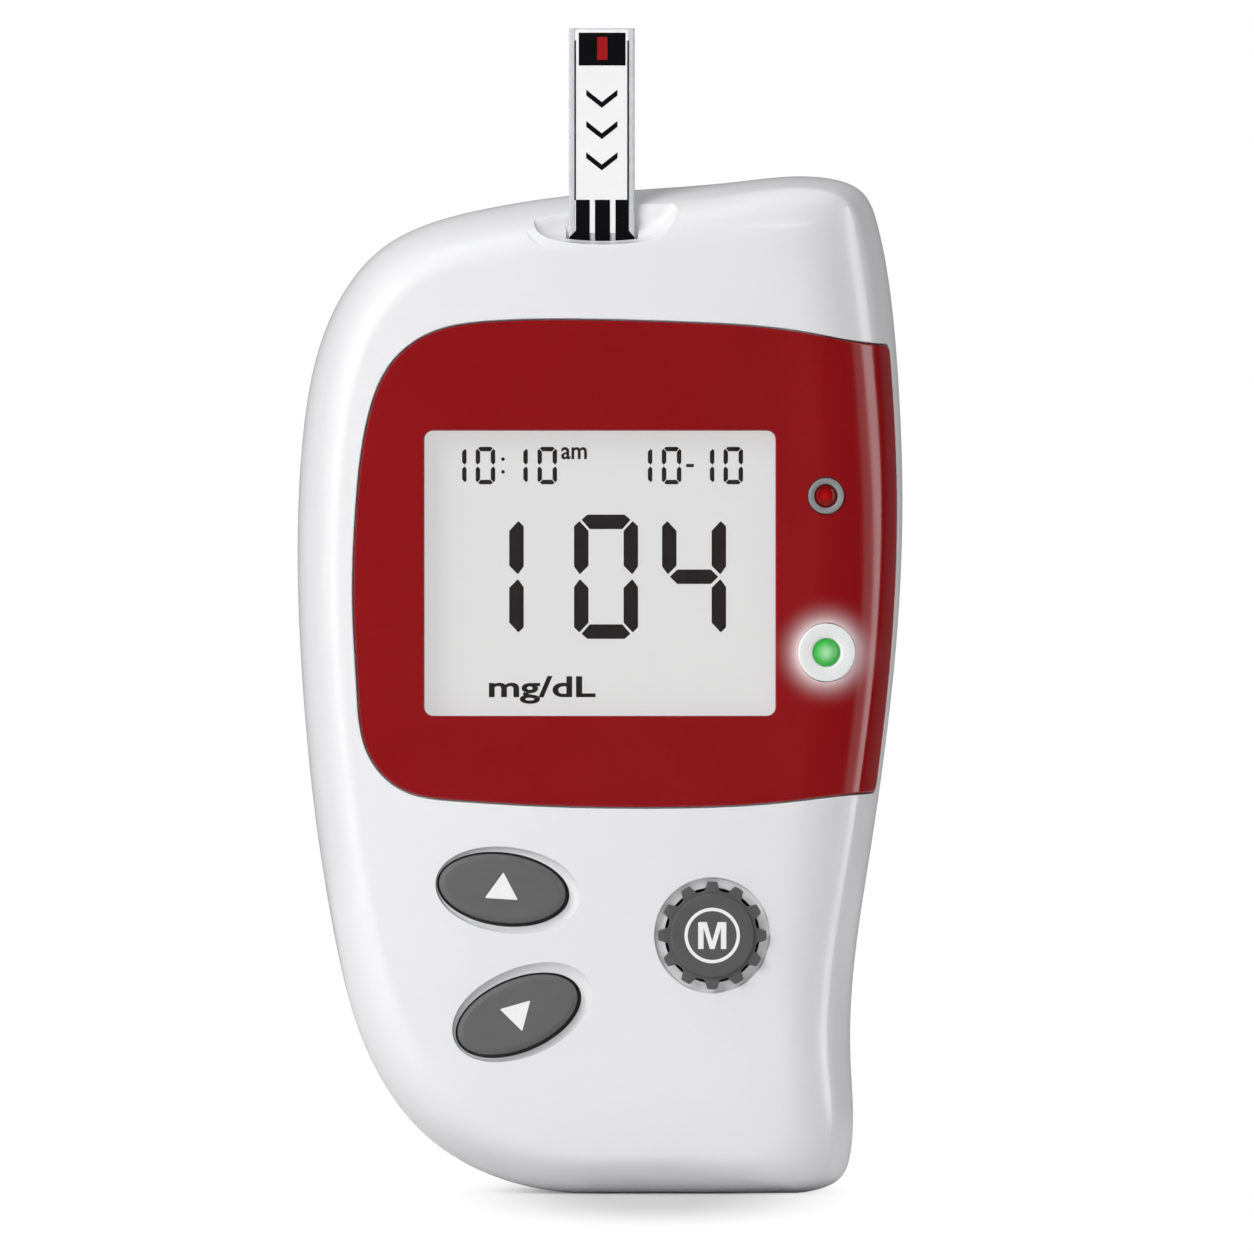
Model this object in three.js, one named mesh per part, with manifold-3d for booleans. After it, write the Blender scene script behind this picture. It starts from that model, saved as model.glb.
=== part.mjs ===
// Blood glucose meter, in millimetres. +X is to the right seen from the front, +Y goes into the
// meter from its face to its back, +Z is up. The origin is under the middle of the meter, on the
// surface that its foot stands on.

import * as THREE from 'three';
import { mergeVertices } from 'three/addons/utils/BufferGeometryUtils.js';
import Module from 'manifold-3d';

const wasm = await Module();
wasm.setup();

// Body, and the clearances that are used all over
const bodyWidth = 56.2;
const bodyHeight = 94.2;
const frontWall = 2.0;
const rearWall = 1.8;
const faceCrown = 0.6;
const frontRollAtTop = 9.0;
const frontRollAtFoot = 6.0;
const creaseInset = 1.65;
const rearRoll = 5.0;
const rearRollShare = 0.7;
const fitGap = 0.3;
const cutOverrun = 1.0;

// Faceplate, display and board, in the order of the stack from the face inwards
const plateThickness = 0.9;
const plateWrapDepth = 6.0;
const openingWidth = 32.5;
const openingHeight = 26.4;
const openingCorner = 0.8;
const windowThickness = 0.8;
const windowBorder = 1.5;
const lcdThickness = 1.8;
const lcdBorder = 1.6;
const lcdContactStrip = 3.4;
const elastomerHeight = 2.1;
const elastomerWidth = 2.0;
const holderWall = 0.9;
const holderLedge = 3.2;
const boardThickness = 1.0;
const boardMargin = 4.2;

// Cells, their tray and the cover over them
const cellRadius = 5.2;
const cellLength = 43.5;
const cellNubRadius = 1.9;
const cellNubHeight = 1.0;
const cellCrimp = 0.5;
const trayWall = 1.2;
const coverThickness = 1.6;
const coverMargin = 2.6;
const coverCorner = 1.6;
const frameWidth = 2.2;
const frameDepth = 2.4;
const hookWidth = 4.2;
const hookReach = 2.6;
const hookThickness = 1.0;
const hookRoot = 1.4;
const thumbRadius = 7.0;
const thumbDepth = 0.7;
const contactThickness = 0.4;
const contactWidth = 8.6;
const contactHeight = 8.0;
const contactBump = 1.5;
const springLength = 2.0;
const springWire = 0.25;
const springWide = 3.0;
const springNarrow = 2.1;
const springTurns = 3;

// Buttons and switches
const buttonProud = 0.4;
const buttonTravel = 0.5;
const buttonGap = 0.35;
const buttonEdge = 0.35;
const ovalLong = 6.1;
const ovalShort = 3.25;
const upTurn = THREE.MathUtils.degToRad(7.2);
const downTurn = THREE.MathUtils.degToRad(-23.2);
const wellBorder = 0.9;
const wellDepth = 0.45;
const upWellShift = [0.5, -0.15];
const downWellShift = [0.45, 0.2];
const cogTip = 5.0;
const cogRoot = 4.15;
const cogFace = 3.9;
const cogStep = 0.35;
const cogTeeth = 12;
const toothRootWidth = 1.3;
const toothTipWidth = 1.05;
const cogRecess = 1.3;
const lugWidth = 2.4;
const flangeReach = 0.8;
const flangeThickness = 0.8;
const stemRadius = 1.5;
const switchSide = 4.5;
const switchHeight = 1.8;
const plungerRadius = 1.0;
const plungerStand = 0.6;
const plungerSunk = 0.8;

// Lamps
const redBezelRadius = 1.67;
const redLensRadius = 1.02;
const greenBezelRadius = 2.69;
const greenLensRadius = 1.26;
const bezelHeight = 1.6;
const bezelProud = 0.1;
const lensLength = 2.0;
const lensDome = 0.45;
const lampRadius = 1.45;
const lampHeight = 2.9;
const lampRim = 0.25;

// Test strip, the slot and notch that it enters by, and the port behind them
const stripWidth = 6.1;
const stripThickness = 0.5;
const stripLength = 30.0;
const stripRail = 0.65;
const filmThickness = 0.12;
const filmLength = 19.0;
const slotWall = 1.9;
const notchRadius = 9.9;
const notchDrop = 0.3;
const notchBacking = 1.2;
const guideBorder = 3.2;
const guideLength = 4.0;
const portLength = 7.0;
const portBorder = 1.6;
const portStop = 1.0;
const contactStripWidth = 0.8;
const contactStripPitch = 1.6;
const contactStripThickness = 0.25;

// Screws and the posts that they join
const screwRadius = 0.9;
const screwLength = 8.0;
const screwHeadRadius = 1.8;
const screwHeadHeight = 1.3;
const screwSlotWidth = 0.5;
const screwSlotDepth = 0.6;
const pilotClearance = 0.2;
const frontPostRadius = 2.4;
const rearPostRadius = 2.9;
const postSeat = 3.6;

// Parts on the back of the board
const controllerSide = 6.0;
const chipHeight = 1.2;
const chipSmallSide = 4.0;
const crystalLength = 4.6;
const crystalRadius = 1.1;
const buzzerRadius = 4.5;
const buzzerHeight = 2.4;
const buzzerPort = 1.0;

// Outlines, as shares of the body's width and height from its lower left corner. Each row is a point
// on the rim, seen from the front, and the point where the rolled edge there meets the face.
const bodyShares = [
  [0.459, 0.000, 0.475, 0.043],
  [0.649, 0.000, 0.632, 0.043],
  [0.830, 0.000, 0.739, 0.043],
  [0.896, 0.014, 0.774, 0.053],
  [0.915, 0.043, 0.782, 0.078],
  [0.914, 0.132, 0.781, 0.142],
  [0.921, 0.231, 0.779, 0.231],
  [0.946, 0.334, 0.790, 0.344],
  [0.977, 0.467, 0.809, 0.467],
  [0.995, 0.585, 0.823, 0.585],
  [1.000, 0.694, 0.830, 0.694],
  [0.993, 0.802, 0.827, 0.797],
  [0.977, 0.900, 0.814, 0.881],
  [0.960, 0.952, 0.797, 0.918],
  [0.936, 0.985, 0.771, 0.932],
  [0.880, 1.000, 0.731, 0.936],
  [0.731, 0.997, 0.649, 0.936],
  [0.500, 0.986, 0.467, 0.929],
  [0.302, 0.969, 0.318, 0.916],
  [0.137, 0.930, 0.193, 0.889],
  [0.053, 0.861, 0.124, 0.836],
  [0.010, 0.753, 0.087, 0.743],
  [0.000, 0.630, 0.076, 0.630],
  [0.010, 0.487, 0.087, 0.492],
  [0.031, 0.364, 0.111, 0.376],
  [0.064, 0.245, 0.142, 0.265],
  [0.116, 0.139, 0.190, 0.169],
  [0.196, 0.066, 0.256, 0.109],
  [0.318, 0.018, 0.355, 0.063],
];

// The faceplate's outline. It runs out past the right flank, where the wrap depth ends the plate.
const plateShares = [
  [0.401, 0.384],
  [0.599, 0.382],
  [0.797, 0.387],
  [0.962, 0.396],
  [1.094, 0.402],
  [1.094, 0.830],
  [0.969, 0.836],
  [0.830, 0.849],
  [0.649, 0.858],
  [0.467, 0.861],
  [0.318, 0.859],
  [0.219, 0.847],
  [0.157, 0.818],
  [0.120, 0.767],
  [0.099, 0.674],
  [0.094, 0.585],
  [0.101, 0.497],
  [0.122, 0.431],
  [0.170, 0.401],
  [0.261, 0.389],
];

// Places on the body, as shares of its width and height
const faceCentreShares = [0.450, 0.497];
const openingShares = [0.500, 0.612];
const upButtonShares = [0.339, 0.302];
const downButtonShares = [0.364, 0.178];
const memoryButtonShares = [0.685, 0.256];
const redLampShares = [0.873, 0.688];
const greenLampShares = [0.874, 0.534];
const stripShares = [0.503, 0.939];
const notchShare = 0.508;
const bayShares = [0.500, 0.476];
const postShares = [
  [0.198, 0.133],
  [0.811, 0.096],
  [0.153, 0.855],
  [0.865, 0.865],
];
const controllerShares = [0.175, 0.540];
const amplifierShares = [0.300, 0.850];
const memoryChipShares = [0.180, 0.650];
const crystalShares = [0.175, 0.430];
const buzzerShares = [0.640, 0.850];

// The front edge in section: how much of its depth lies before the crease, the powers of its two curves,
// and the steps along them
const creaseDepthShare = 0.32;
const wallPower = 1.6;
const arcPower = 2.2;
const wallStepShares = [1, 0.6, 0.25];
const arcStepShares = [1, 0.75, 0.45, 0];

const samplesPerPoint = 2;
const rollSteps = 4;
const faceRingShares = [0.6];
const roundSides = 32;
const smallSides = 16;
const cornerSteps = 4;

// Depths through the stack, worked out from its parts. The two shells meet at zero.
const stackDepth = buttonProud + plateThickness + 2 * fitGap + windowThickness + fitGap + lcdThickness
  + elastomerHeight + fitGap + boardThickness + fitGap + trayWall + fitGap + 2 * cellRadius + fitGap
  + coverThickness;
const buttonTopY = -stackDepth / 2;
const rearY = stackDepth / 2;
const faceY = buttonTopY + buttonProud;
const faceEdgeY = faceY + faceCrown;
const windowY = faceY + plateThickness + 2 * fitGap;
const lcdY = windowY + windowThickness + fitGap;
const elastomerY = lcdY + lcdThickness;
const boardY = elastomerY + elastomerHeight + fitGap;
const boardBackY = boardY + boardThickness;
const trayY = boardBackY + fitGap;
const cellY = trayY + trayWall + fitGap + cellRadius;
const coverY = rearY - coverThickness;
const bodyMiddle = bodyHeight / 2;

// Closed solids

// Merges a geometry's vertices, drops triangles that have closed up, and turns its faces outward.
function solidOf(geometry) {
  const bare = geometry.clone();
  bare.deleteAttribute('normal');
  bare.deleteAttribute('uv');
  const merged = mergeVertices(bare);
  const places = merged.attributes.position.array;
  const kept = [];
  let volume = 0;
  for (let i = 0; i < merged.index.count; i += 3) {
    const [a, b, c] = [0, 1, 2].map((k) => merged.index.getX(i + k));
    if (a === b || b === c || c === a) continue;
    const [p, q, r] = [a, b, c].map((k) => new THREE.Vector3().fromArray(places, 3 * k));
    volume += p.dot(q.cross(r));
    kept.push([a, b, c]);
  }
  const faces = volume < 0 ? kept.map(([a, b, c]) => [a, c, b]) : kept;
  return new wasm.Manifold(new wasm.Mesh({
    numProp: 3,
    vertProperties: new Float32Array(places),
    triVerts: new Uint32Array(faces.flat()),
  }));
}

function geometryOf(solid) {
  const mesh = solid.getMesh();
  const geometry = new THREE.BufferGeometry();
  geometry.setAttribute('position', new THREE.BufferAttribute(new Float32Array(mesh.vertProperties), 3));
  geometry.setIndex(new THREE.BufferAttribute(new Uint32Array(mesh.triVerts), 1));
  geometry.computeVertexNormals();
  return geometry;
}

const joined = (...solids) => solids.reduce((whole, solid) => whole.add(solid));
const without = (solid, ...cutters) => cutters.reduce((rest, cutter) => rest.subtract(cutter), solid);

function placeOf([shareX, shareZ]) {
  return new THREE.Vector3((shareX - 0.5) * bodyWidth, 0, shareZ * bodyHeight);
}

function block(width, frontY, backY, height, place) {
  const box = new THREE.BoxGeometry(width, backY - frontY, height);
  return solidOf(box.translate(place.x, (frontY + backY) / 2, place.z));
}

function rod(radius, frontY, backY, place, sides = roundSides) {
  const bar = new THREE.CylinderGeometry(radius, radius, backY - frontY, sides);
  return solidOf(bar.translate(place.x, (frontY + backY) / 2, place.z));
}

// A flat outline in the plane of the face, carried from one depth to another
function slab(shape, frontY, backY) {
  const plate = new THREE.ExtrudeGeometry(shape, {
    depth: backY - frontY,
    bevelEnabled: false,
    curveSegments: cornerSteps,
  });
  return solidOf(plate.rotateX(Math.PI / 2).translate(0, backY, 0));
}

function roundedShape(width, height, corner, place) {
  const shape = new THREE.Shape();
  const right = place.x + width / 2 - corner;
  const left = place.x - width / 2 + corner;
  const top = place.z + height / 2 - corner;
  const low = place.z - height / 2 + corner;
  shape.absarc(right, low, corner, -Math.PI / 2, 0);
  shape.absarc(right, top, corner, 0, Math.PI / 2);
  shape.absarc(left, top, corner, Math.PI / 2, Math.PI);
  shape.absarc(left, low, corner, Math.PI, Math.PI * 1.5);
  return shape;
}

// A turned profile about Y, stretched to an oval and turned in the plane of the face
function ovalTurning(profile, long, short, turn, place) {
  const turned = new THREE.LatheGeometry(profile.map(([r, y]) => new THREE.Vector2(r, y)), roundSides);
  return solidOf(turned.scale(long, 1, short).rotateY(turn).translate(place.x, 0, place.z));
}

const discProfile = (frontY, backY) => [[0, frontY], [1, frontY], [1, backY], [0, backY]];

// A closed skin through rings of points, from the deepest ring to the foremost
function loft(rings, firstCentre, lastCentre) {
  const count = rings[0].length;
  const corners = [...rings.flat(), firstCentre, lastCentre];
  const places = corners.flatMap((p) => p.toArray());
  const first = corners.length - 2;
  const last = corners.length - 1;
  const faces = [];
  for (let i = 0; i < count; i++) {
    const next = (i + 1) % count;
    faces.push(first, next, i);
    for (let ring = 0; ring < rings.length - 1; ring++) {
      const here = ring * count;
      const ahead = here + count;
      faces.push(here + i, here + next, ahead + next, here + i, ahead + next, ahead + i);
    }
    const front = (rings.length - 1) * count;
    faces.push(front + i, front + next, last);
  }
  const geometry = new THREE.BufferGeometry();
  geometry.setAttribute('position', new THREE.Float32BufferAttribute(places, 3));
  geometry.setIndex(faces);
  return solidOf(geometry);
}

// The body's form: a rim, a creased front edge from the rim to the face, a crowned face, and an
// elliptic roll from the rim to the back

function smoothLine(shares) {
  const curve = new THREE.CatmullRomCurve3(shares.map(placeOf), true, 'centripetal');
  const count = shares.length * samplesPerPoint;
  return Array.from({ length: count }, (_, i) => curve.getPoint(i / count));
}

// The foot is cut level, so the meter stands on it.
const rimLine = smoothLine(bodyShares.map((row) => row.slice(0, 2))).map((p) => p.setZ(Math.max(p.z, 0)));
const faceLine = smoothLine(bodyShares.map((row) => row.slice(2)));
const faceCentre = placeOf(faceCentreShares);
const rollWidth = rimLine.map((rim, i) => rim.distanceTo(faceLine[i]));
const rollDepth = rimLine.map((rim) => THREE.MathUtils.mapLinear(
  rim.z, 0, bodyHeight, frontRollAtFoot, frontRollAtTop));
const inward = rimLine.map((rim, i) => faceLine[i].clone().sub(rim).normalize());

function movedIn(i, inset, y) {
  return rimLine[i].clone().addScaledVector(inward[i], inset).setY(y);
}

// The front edge in section, for each point of the rim. A side wall leans in from the rim to a soft
// crease, and from there an arc flattens out into the face. Each row has its inset from the rim, its
// depth behind the edge of the face, and how far the skin there is turned from facing the front.
const frontEdge = rimLine.map((_, i) => {
  const creaseDepth = rollDepth[i] * creaseDepthShare;
  const wallDepth = rollDepth[i] - creaseDepth;
  const arcWidth = rollWidth[i] - creaseInset;
  const wallTurn = (t) => Math.PI / 2
    - Math.atan(wallPower * creaseInset * (1 - t) ** (wallPower - 1) / wallDepth);
  const arcTurn = (t) => Math.atan(arcPower * creaseDepth * t ** (arcPower - 1) / arcWidth);
  const wall = wallStepShares.map((t) => ({
    inset: creaseInset * (1 - t) ** wallPower,
    depth: creaseDepth + wallDepth * t,
    turn: wallTurn(t),
  }));
  const arc = arcStepShares.map((t) => ({
    inset: rollWidth[i] - arcWidth * t,
    depth: creaseDepth * t ** arcPower,
    turn: t === 1 ? (arcTurn(1) + wallTurn(0)) / 2 : arcTurn(t),
  }));
  return [...wall, ...arc];
});

const rollAngles = Array.from({ length: rollSteps + 1 }, (_, k) => k / rollSteps * Math.PI / 2);

// The front half, with every surface moved in by the inset, and open at the back as far as backY
function frontBody(inset, backY = 0) {
  const rings = [rimLine.map((_, i) => movedIn(i, inset, backY))];
  for (let row = 0; row < frontEdge[0].length; row++) {
    rings.push(rimLine.map((_, i) => {
      const edge = frontEdge[i][row];
      return movedIn(i, edge.inset + inset * Math.sin(edge.turn),
        faceEdgeY + edge.depth + inset * Math.cos(edge.turn));
    }));
  }
  for (const share of faceRingShares) {
    const y = faceY + inset + faceCrown * share * share;
    rings.push(faceLine.map((p) => faceCentre.clone().lerp(p, share).setY(y)));
  }
  return loft(rings, faceCentre.clone().setY(backY), faceCentre.clone().setY(faceY + inset));
}

function rearBody(inset, frontY = 0) {
  const rings = rollAngles.map((angle) => rimLine.map((_, i) => movedIn(
    i,
    inset + (rollWidth[i] * rearRollShare - inset) * (1 - Math.cos(angle)),
    rearY - inset - (rearRoll - inset) * (1 - Math.sin(angle)),
  ))).reverse();
  rings.push(rimLine.map((_, i) => movedIn(i, inset, frontY)));
  return loft(rings, faceCentre.clone().setY(rearY - inset), faceCentre.clone().setY(frontY));
}

const frontForm = frontBody(0);
const frontFormMesh = new THREE.Mesh(geometryOf(frontForm));

// The point of the front skin straight behind a place on the face, and the direction it looks in
function skinAt(place) {
  const start = new THREE.Vector3(place.x, -bodyMiddle, place.z);
  const ray = new THREE.Raycaster(start, new THREE.Vector3(0, 1, 0));
  const [hit] = ray.intersectObject(frontFormMesh);
  return { point: hit.point, normal: hit.face.normal };
}

// Scene graph

const meter = new THREE.Group();

function finish(color, roughness, metalness = 0) {
  return new THREE.MeshStandardMaterial({ color, roughness, metalness });
}

const whiteGloss = finish(0xeeeeef, 0.18);
const redGloss = finish(0x8c1116, 0.2);
const clearPane = finish(0xdfe3e2, 0.08);
const lcdGrey = finish(0xdedede, 0.35);
const greyKey = finish(0x636363, 0.45);
const blackMoulding = finish(0x1d1d1f, 0.5);
const greyMoulding = finish(0x8d8f90, 0.5);
const boardGreen = finish(0x1f5c3a, 0.5);
const rubberGrey = finish(0x55585a, 0.8);
const nickel = finish(0xc9c7c0, 0.3, 1);
const gold = finish(0xcfa84a, 0.3, 1);
const darkRed = finish(0x7b1013, 0.12);
const litGreen = finish(0x43b04a, 0.15);
const whiteMoulding = finish(0xf4f4f4, 0.4);
const cellWrap = finish(0x2c3e58, 0.35, 0.3);
const stripPlastic = finish(0xd9dadb, 0.4);

function addPiece(name, solid, material, parent = meter) {
  const mesh = new THREE.Mesh(geometryOf(solid), material);
  mesh.name = name;
  parent.add(mesh);
  return mesh;
}

// Faceplate and the openings through it

const openingPlace = placeOf(openingShares);
const openingShape = (border) => roundedShape(
  openingWidth + 2 * border, openingHeight + 2 * border, openingCorner + border, openingPlace);

const lcdWidth = openingWidth + 2 * lcdBorder;
const lcdHeight = openingHeight + 2 * lcdContactStrip;

function shapeOf(line) {
  return new THREE.Shape(line.map((p) => new THREE.Vector2(p.x, p.z)));
}

// Moves each point of an outline outward, square to the line through its neighbours.
function grown(line, distance) {
  return line.map((p, i) => {
    const ahead = line[(i + 1) % line.length];
    const behind = line[(i + line.length - 1) % line.length];
    const along = ahead.clone().sub(behind).normalize();
    return p.clone().add(new THREE.Vector3(along.z, 0, -along.x).multiplyScalar(distance));
  });
}

const plateLine = smoothLine(plateShares);
const plateEndY = faceY + plateWrapDepth;

const lamps = [
  { name: 'red', place: placeOf(redLampShares), bezel: redBezelRadius, lens: redLensRadius },
  { name: 'green', place: placeOf(greenLampShares), bezel: greenBezelRadius, lens: greenLensRadius },
];

// Each lamp's window stands square to the skin, which slopes towards the flank there.
for (const lamp of lamps) {
  const { point, normal } = skinAt(lamp.place);
  lamp.point = point;
  lamp.toSkin = new THREE.Matrix4().makeRotationFromQuaternion(
    new THREE.Quaternion().setFromUnitVectors(new THREE.Vector3(0, -1, 0), normal)).setPosition(point);
}

// A cylinder along a lamp's axis, from a depth under the skin (or, if negative, above it) to another
function lampRod(lamp, radius, from, to) {
  const bar = new THREE.CylinderGeometry(radius, radius, to - from, roundSides);
  return solidOf(bar.translate(0, (from + to) / 2, 0).applyMatrix4(lamp.toSkin));
}

const lampHoles = lamps.map((lamp) => lampRod(
  lamp, lamp.bezel + fitGap, -cutOverrun, bezelHeight + fitGap));
const lampBores = lamps.map((lamp) => lampRod(
  lamp, lampRadius + fitGap, 0, bezelHeight + frontWall + cutOverrun));

function faceplate() {
  const blank = slab(shapeOf(plateLine), buttonTopY - cutOverrun, plateEndY).intersect(frontForm);
  const opening = slab(openingShape(0), buttonTopY - cutOverrun, plateEndY);
  const paneRoom = slab(openingShape(windowBorder + fitGap), windowY - fitGap, plateEndY);
  return without(blank, frontBody(plateThickness), opening, paneRoom, ...lampHoles);
}

const platePocket = without(
  slab(shapeOf(grown(plateLine, fitGap)), buttonTopY - cutOverrun, plateEndY + fitGap),
  frontBody(plateThickness + fitGap),
);

// Buttons

const upPlace = placeOf(upButtonShares);
const downPlace = placeOf(downButtonShares);
const memoryPlace = placeOf(memoryButtonShares);
const plungerTopY = boardY - switchHeight - plungerStand;
const stemEndY = plungerTopY - fitGap;

const flangeY = (place) => skinAt(place).point.y + frontWall + fitGap;

function ovalHole(place, turn) {
  return ovalTurning(
    discProfile(buttonTopY - cutOverrun, 0), ovalLong + buttonGap, ovalShort + buttonGap, turn, place);
}

// The shallow dish around an oval button, set a little to one side of it: the cap of a flattened ball
// twice as deep as the dish
function ovalWell(place, turn, [shiftX, shiftZ]) {
  const capWidening = 1 / Math.cos(Math.PI / 6);
  const ball = new THREE.SphereGeometry(1, roundSides, smallSides);
  ball.scale(
    (ovalLong + wellBorder) * capWidening, 2 * wellDepth, (ovalShort + wellBorder) * capWidening);
  ball.rotateY(turn);
  return solidOf(ball.translate(
    place.x + shiftX, skinAt(place).point.y - wellDepth, place.z + shiftZ));
}

function ovalButton(place, turn) {
  const topY = buttonTopY;
  const underY = flangeY(place);
  const profile = [
    [0, topY],
    [1 - 2 * buttonEdge / ovalShort, topY + buttonEdge / 4],
    [1 - buttonEdge / ovalShort, topY + buttonEdge / 2],
    [1, topY + 1.5 * buttonEdge],
    [1, underY + flangeThickness],
    [0, underY + flangeThickness],
  ];
  return joined(
    ovalTurning(profile, ovalLong, ovalShort, turn, place),
    ovalTurning(discProfile(underY, underY + flangeThickness),
      ovalLong + flangeReach, ovalShort + flangeReach, turn, place),
    rod(stemRadius, underY, stemEndY, place, smallSides),
  );
}

function cogShape(place) {
  const shape = new THREE.Shape();
  const corners = [];
  for (let tooth = 0; tooth < cogTeeth; tooth++) {
    const middle = tooth / cogTeeth * 2 * Math.PI;
    const rootTurn = toothRootWidth / 2 / cogRoot;
    const tipTurn = toothTipWidth / 2 / cogTip;
    corners.push([cogRoot, middle - rootTurn], [cogTip, middle - tipTurn]);
    corners.push([cogTip, middle + tipTurn], [cogRoot, middle + rootTurn]);
    corners.push([cogRoot, middle + Math.PI / cogTeeth]);
  }
  shape.setFromPoints(corners.map(([radius, angle]) => new THREE.Vector2(
    place.x + radius * Math.cos(angle), place.z + radius * Math.sin(angle))));
  return shape;
}

// The cog's teeth stand in a round recess. Its barrel goes through the recess floor, and three snap
// lugs behind the floor hold it.
const cogFloorY = skinAt(memoryPlace).point.y + cogRecess;
const lugReach = cogRoot + buttonGap + flangeReach;

function memoryButton() {
  const underY = flangeY(memoryPlace);
  const lugs = [0, 1, 2].map((third) => {
    const lug = new THREE.BoxGeometry(lugReach, flangeThickness, lugWidth);
    lug.translate(lugReach / 2, underY + flangeThickness / 2, 0).rotateY(third / 3 * 2 * Math.PI);
    return solidOf(lug.translate(memoryPlace.x, 0, memoryPlace.z));
  });
  return joined(
    rod(cogFace, buttonTopY, underY, memoryPlace),
    slab(cogShape(memoryPlace), buttonTopY + cogStep, cogFloorY - buttonTravel - fitGap),
    rod(cogRoot, buttonTopY + 2 * cogStep, underY + flangeThickness, memoryPlace),
    ...lugs,
    rod(stemRadius, underY, stemEndY, memoryPlace, smallSides),
  );
}

// Flat room behind the shell's curved wall, in which a button's flange lies
function ovalRoom(place, turn) {
  const reach = flangeReach + buttonGap;
  return ovalTurning(
    discProfile(flangeY(place) - fitGap, 0), ovalLong + reach, ovalShort + reach, turn, place);
}

const buttonHoles = [
  ovalHole(upPlace, upTurn),
  ovalHole(downPlace, downTurn),
  rod(cogTip + buttonGap, buttonTopY - cutOverrun, cogFloorY, memoryPlace),
  rod(cogRoot + buttonGap, buttonTopY - cutOverrun, 0, memoryPlace),
  ovalRoom(upPlace, upTurn),
  ovalRoom(downPlace, downTurn),
  rod(lugReach + buttonGap, flangeY(memoryPlace) - fitGap, 0, memoryPlace),
];
const buttonWells = [
  ovalWell(upPlace, upTurn, upWellShift),
  ovalWell(downPlace, downTurn, downWellShift),
];

// Test strip, its slot, notch and port

const stripPlace = placeOf(stripShares);
const notchPlace = placeOf([notchShare, 0]).setZ(stripPlace.z - notchDrop + notchRadius);
const stripFrontY = faceEdgeY + slotWall + fitGap;
const stripBackY = stripFrontY + stripThickness;
const slotWidth = stripWidth + 2 * fitGap;
const guideEndZ = stripPlace.z - guideLength;
const portTopZ = guideEndZ - fitGap;
const portEndZ = portTopZ - portLength;
const stripEndZ = portEndZ + portStop;

function betweenHeights(width, frontY, backY, lowZ, highZ, x) {
  return block(width, frontY, backY, highZ - lowZ, new THREE.Vector3(x, 0, (lowZ + highZ) / 2));
}

function stripAlong(width, frontY, backY, lowZ, highZ) {
  return betweenHeights(width, frontY, backY, lowZ, highZ, stripPlace.x);
}

const stripNotch = rod(notchRadius, buttonTopY - cutOverrun, stripBackY + fitGap, notchPlace);
const stripSlot = stripAlong(
  slotWidth, stripFrontY - fitGap, stripBackY + fitGap, guideEndZ - cutOverrun, stripPlace.z + cutOverrun);
const guideBackY = stripBackY + fitGap + frontWall;
const notchFloorZ = notchPlace.z - notchRadius;
const notchChord = 2 * Math.sqrt(notchRadius ** 2 - (notchPlace.z - bodyHeight) ** 2);

// The guide around the strip, and the thicker wall that closes the case behind the notch
const stripGuide = joined(
  stripAlong(slotWidth + guideBorder, faceEdgeY, guideBackY, guideEndZ, bodyHeight),
  betweenHeights(notchChord + 2 * notchBacking, faceEdgeY, guideBackY,
    notchFloorZ - notchBacking, bodyHeight, notchPlace.x),
).intersect(frontBody(frontWall / 2));

function testStrip() {
  const base = stripAlong(stripWidth, stripFrontY, stripBackY, stripEndZ, stripEndZ + stripLength);
  const bed = stripAlong(stripWidth - 2 * stripRail, stripFrontY - cutOverrun, stripFrontY + filmThickness,
    stripEndZ - cutOverrun, stripEndZ + stripLength + cutOverrun);
  return base.subtract(bed);
}

function stripFilm() {
  const topZ = stripEndZ + stripLength;
  return stripAlong(
    stripWidth - 2 * stripRail, stripFrontY, stripFrontY + filmThickness, topZ - filmLength, topZ);
}

const portX = stripPlace.x;
const contactPlaces = [-1, 0, 1].map((side) => portX + side * contactStripPitch);

function stripPort() {
  const housing = stripAlong(slotWidth + 2 * portBorder, stripFrontY, boardY, portEndZ, portTopZ);
  const channel = stripAlong(slotWidth, stripFrontY - cutOverrun, stripBackY + fitGap,
    portEndZ + portStop, portTopZ + cutOverrun);
  const slots = contactPlaces.map((x) => betweenHeights(
    contactStripWidth + fitGap, stripFrontY, boardY + cutOverrun,
    portEndZ + 2 * portStop, portTopZ - portStop, x));
  return without(housing, channel, ...slots);
}

// A leaf that stands on the board and bends forward to the strip's back
function portContact(x) {
  const lowZ = portEndZ + 2 * portStop + fitGap;
  const highZ = portTopZ - portStop - fitGap;
  const bendZ = (lowZ + highZ) / 2;
  const tipY = stripBackY + fitGap;
  const t = contactStripThickness;
  const shape = new THREE.Shape([
    [highZ, boardY],
    [highZ, boardY - t],
    [bendZ + t, tipY],
    [bendZ - t, tipY],
    [lowZ, tipY + 2 * t],
    [lowZ, tipY + 3 * t],
    [bendZ, tipY + t],
    [highZ - 2 * t, boardY],
  ].map(([z, y]) => new THREE.Vector2(z, y)));
  const leaf = new THREE.ExtrudeGeometry(shape, { depth: contactStripWidth, bevelEnabled: false });
  return solidOf(leaf.rotateY(-Math.PI / 2).translate(x + contactStripWidth / 2, 0, 0));
}

// Posts and screws

const postPlaces = postShares.map(placeOf);
const seatY = rearY - postSeat - screwHeadHeight;
const pilotRadius = screwRadius + pilotClearance;

function frontPosts() {
  return postPlaces.map((place) => rod(frontPostRadius, faceY, -fitGap / 2, place, smallSides)
    .intersect(frontBody(frontWall / 2)));
}

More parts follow.
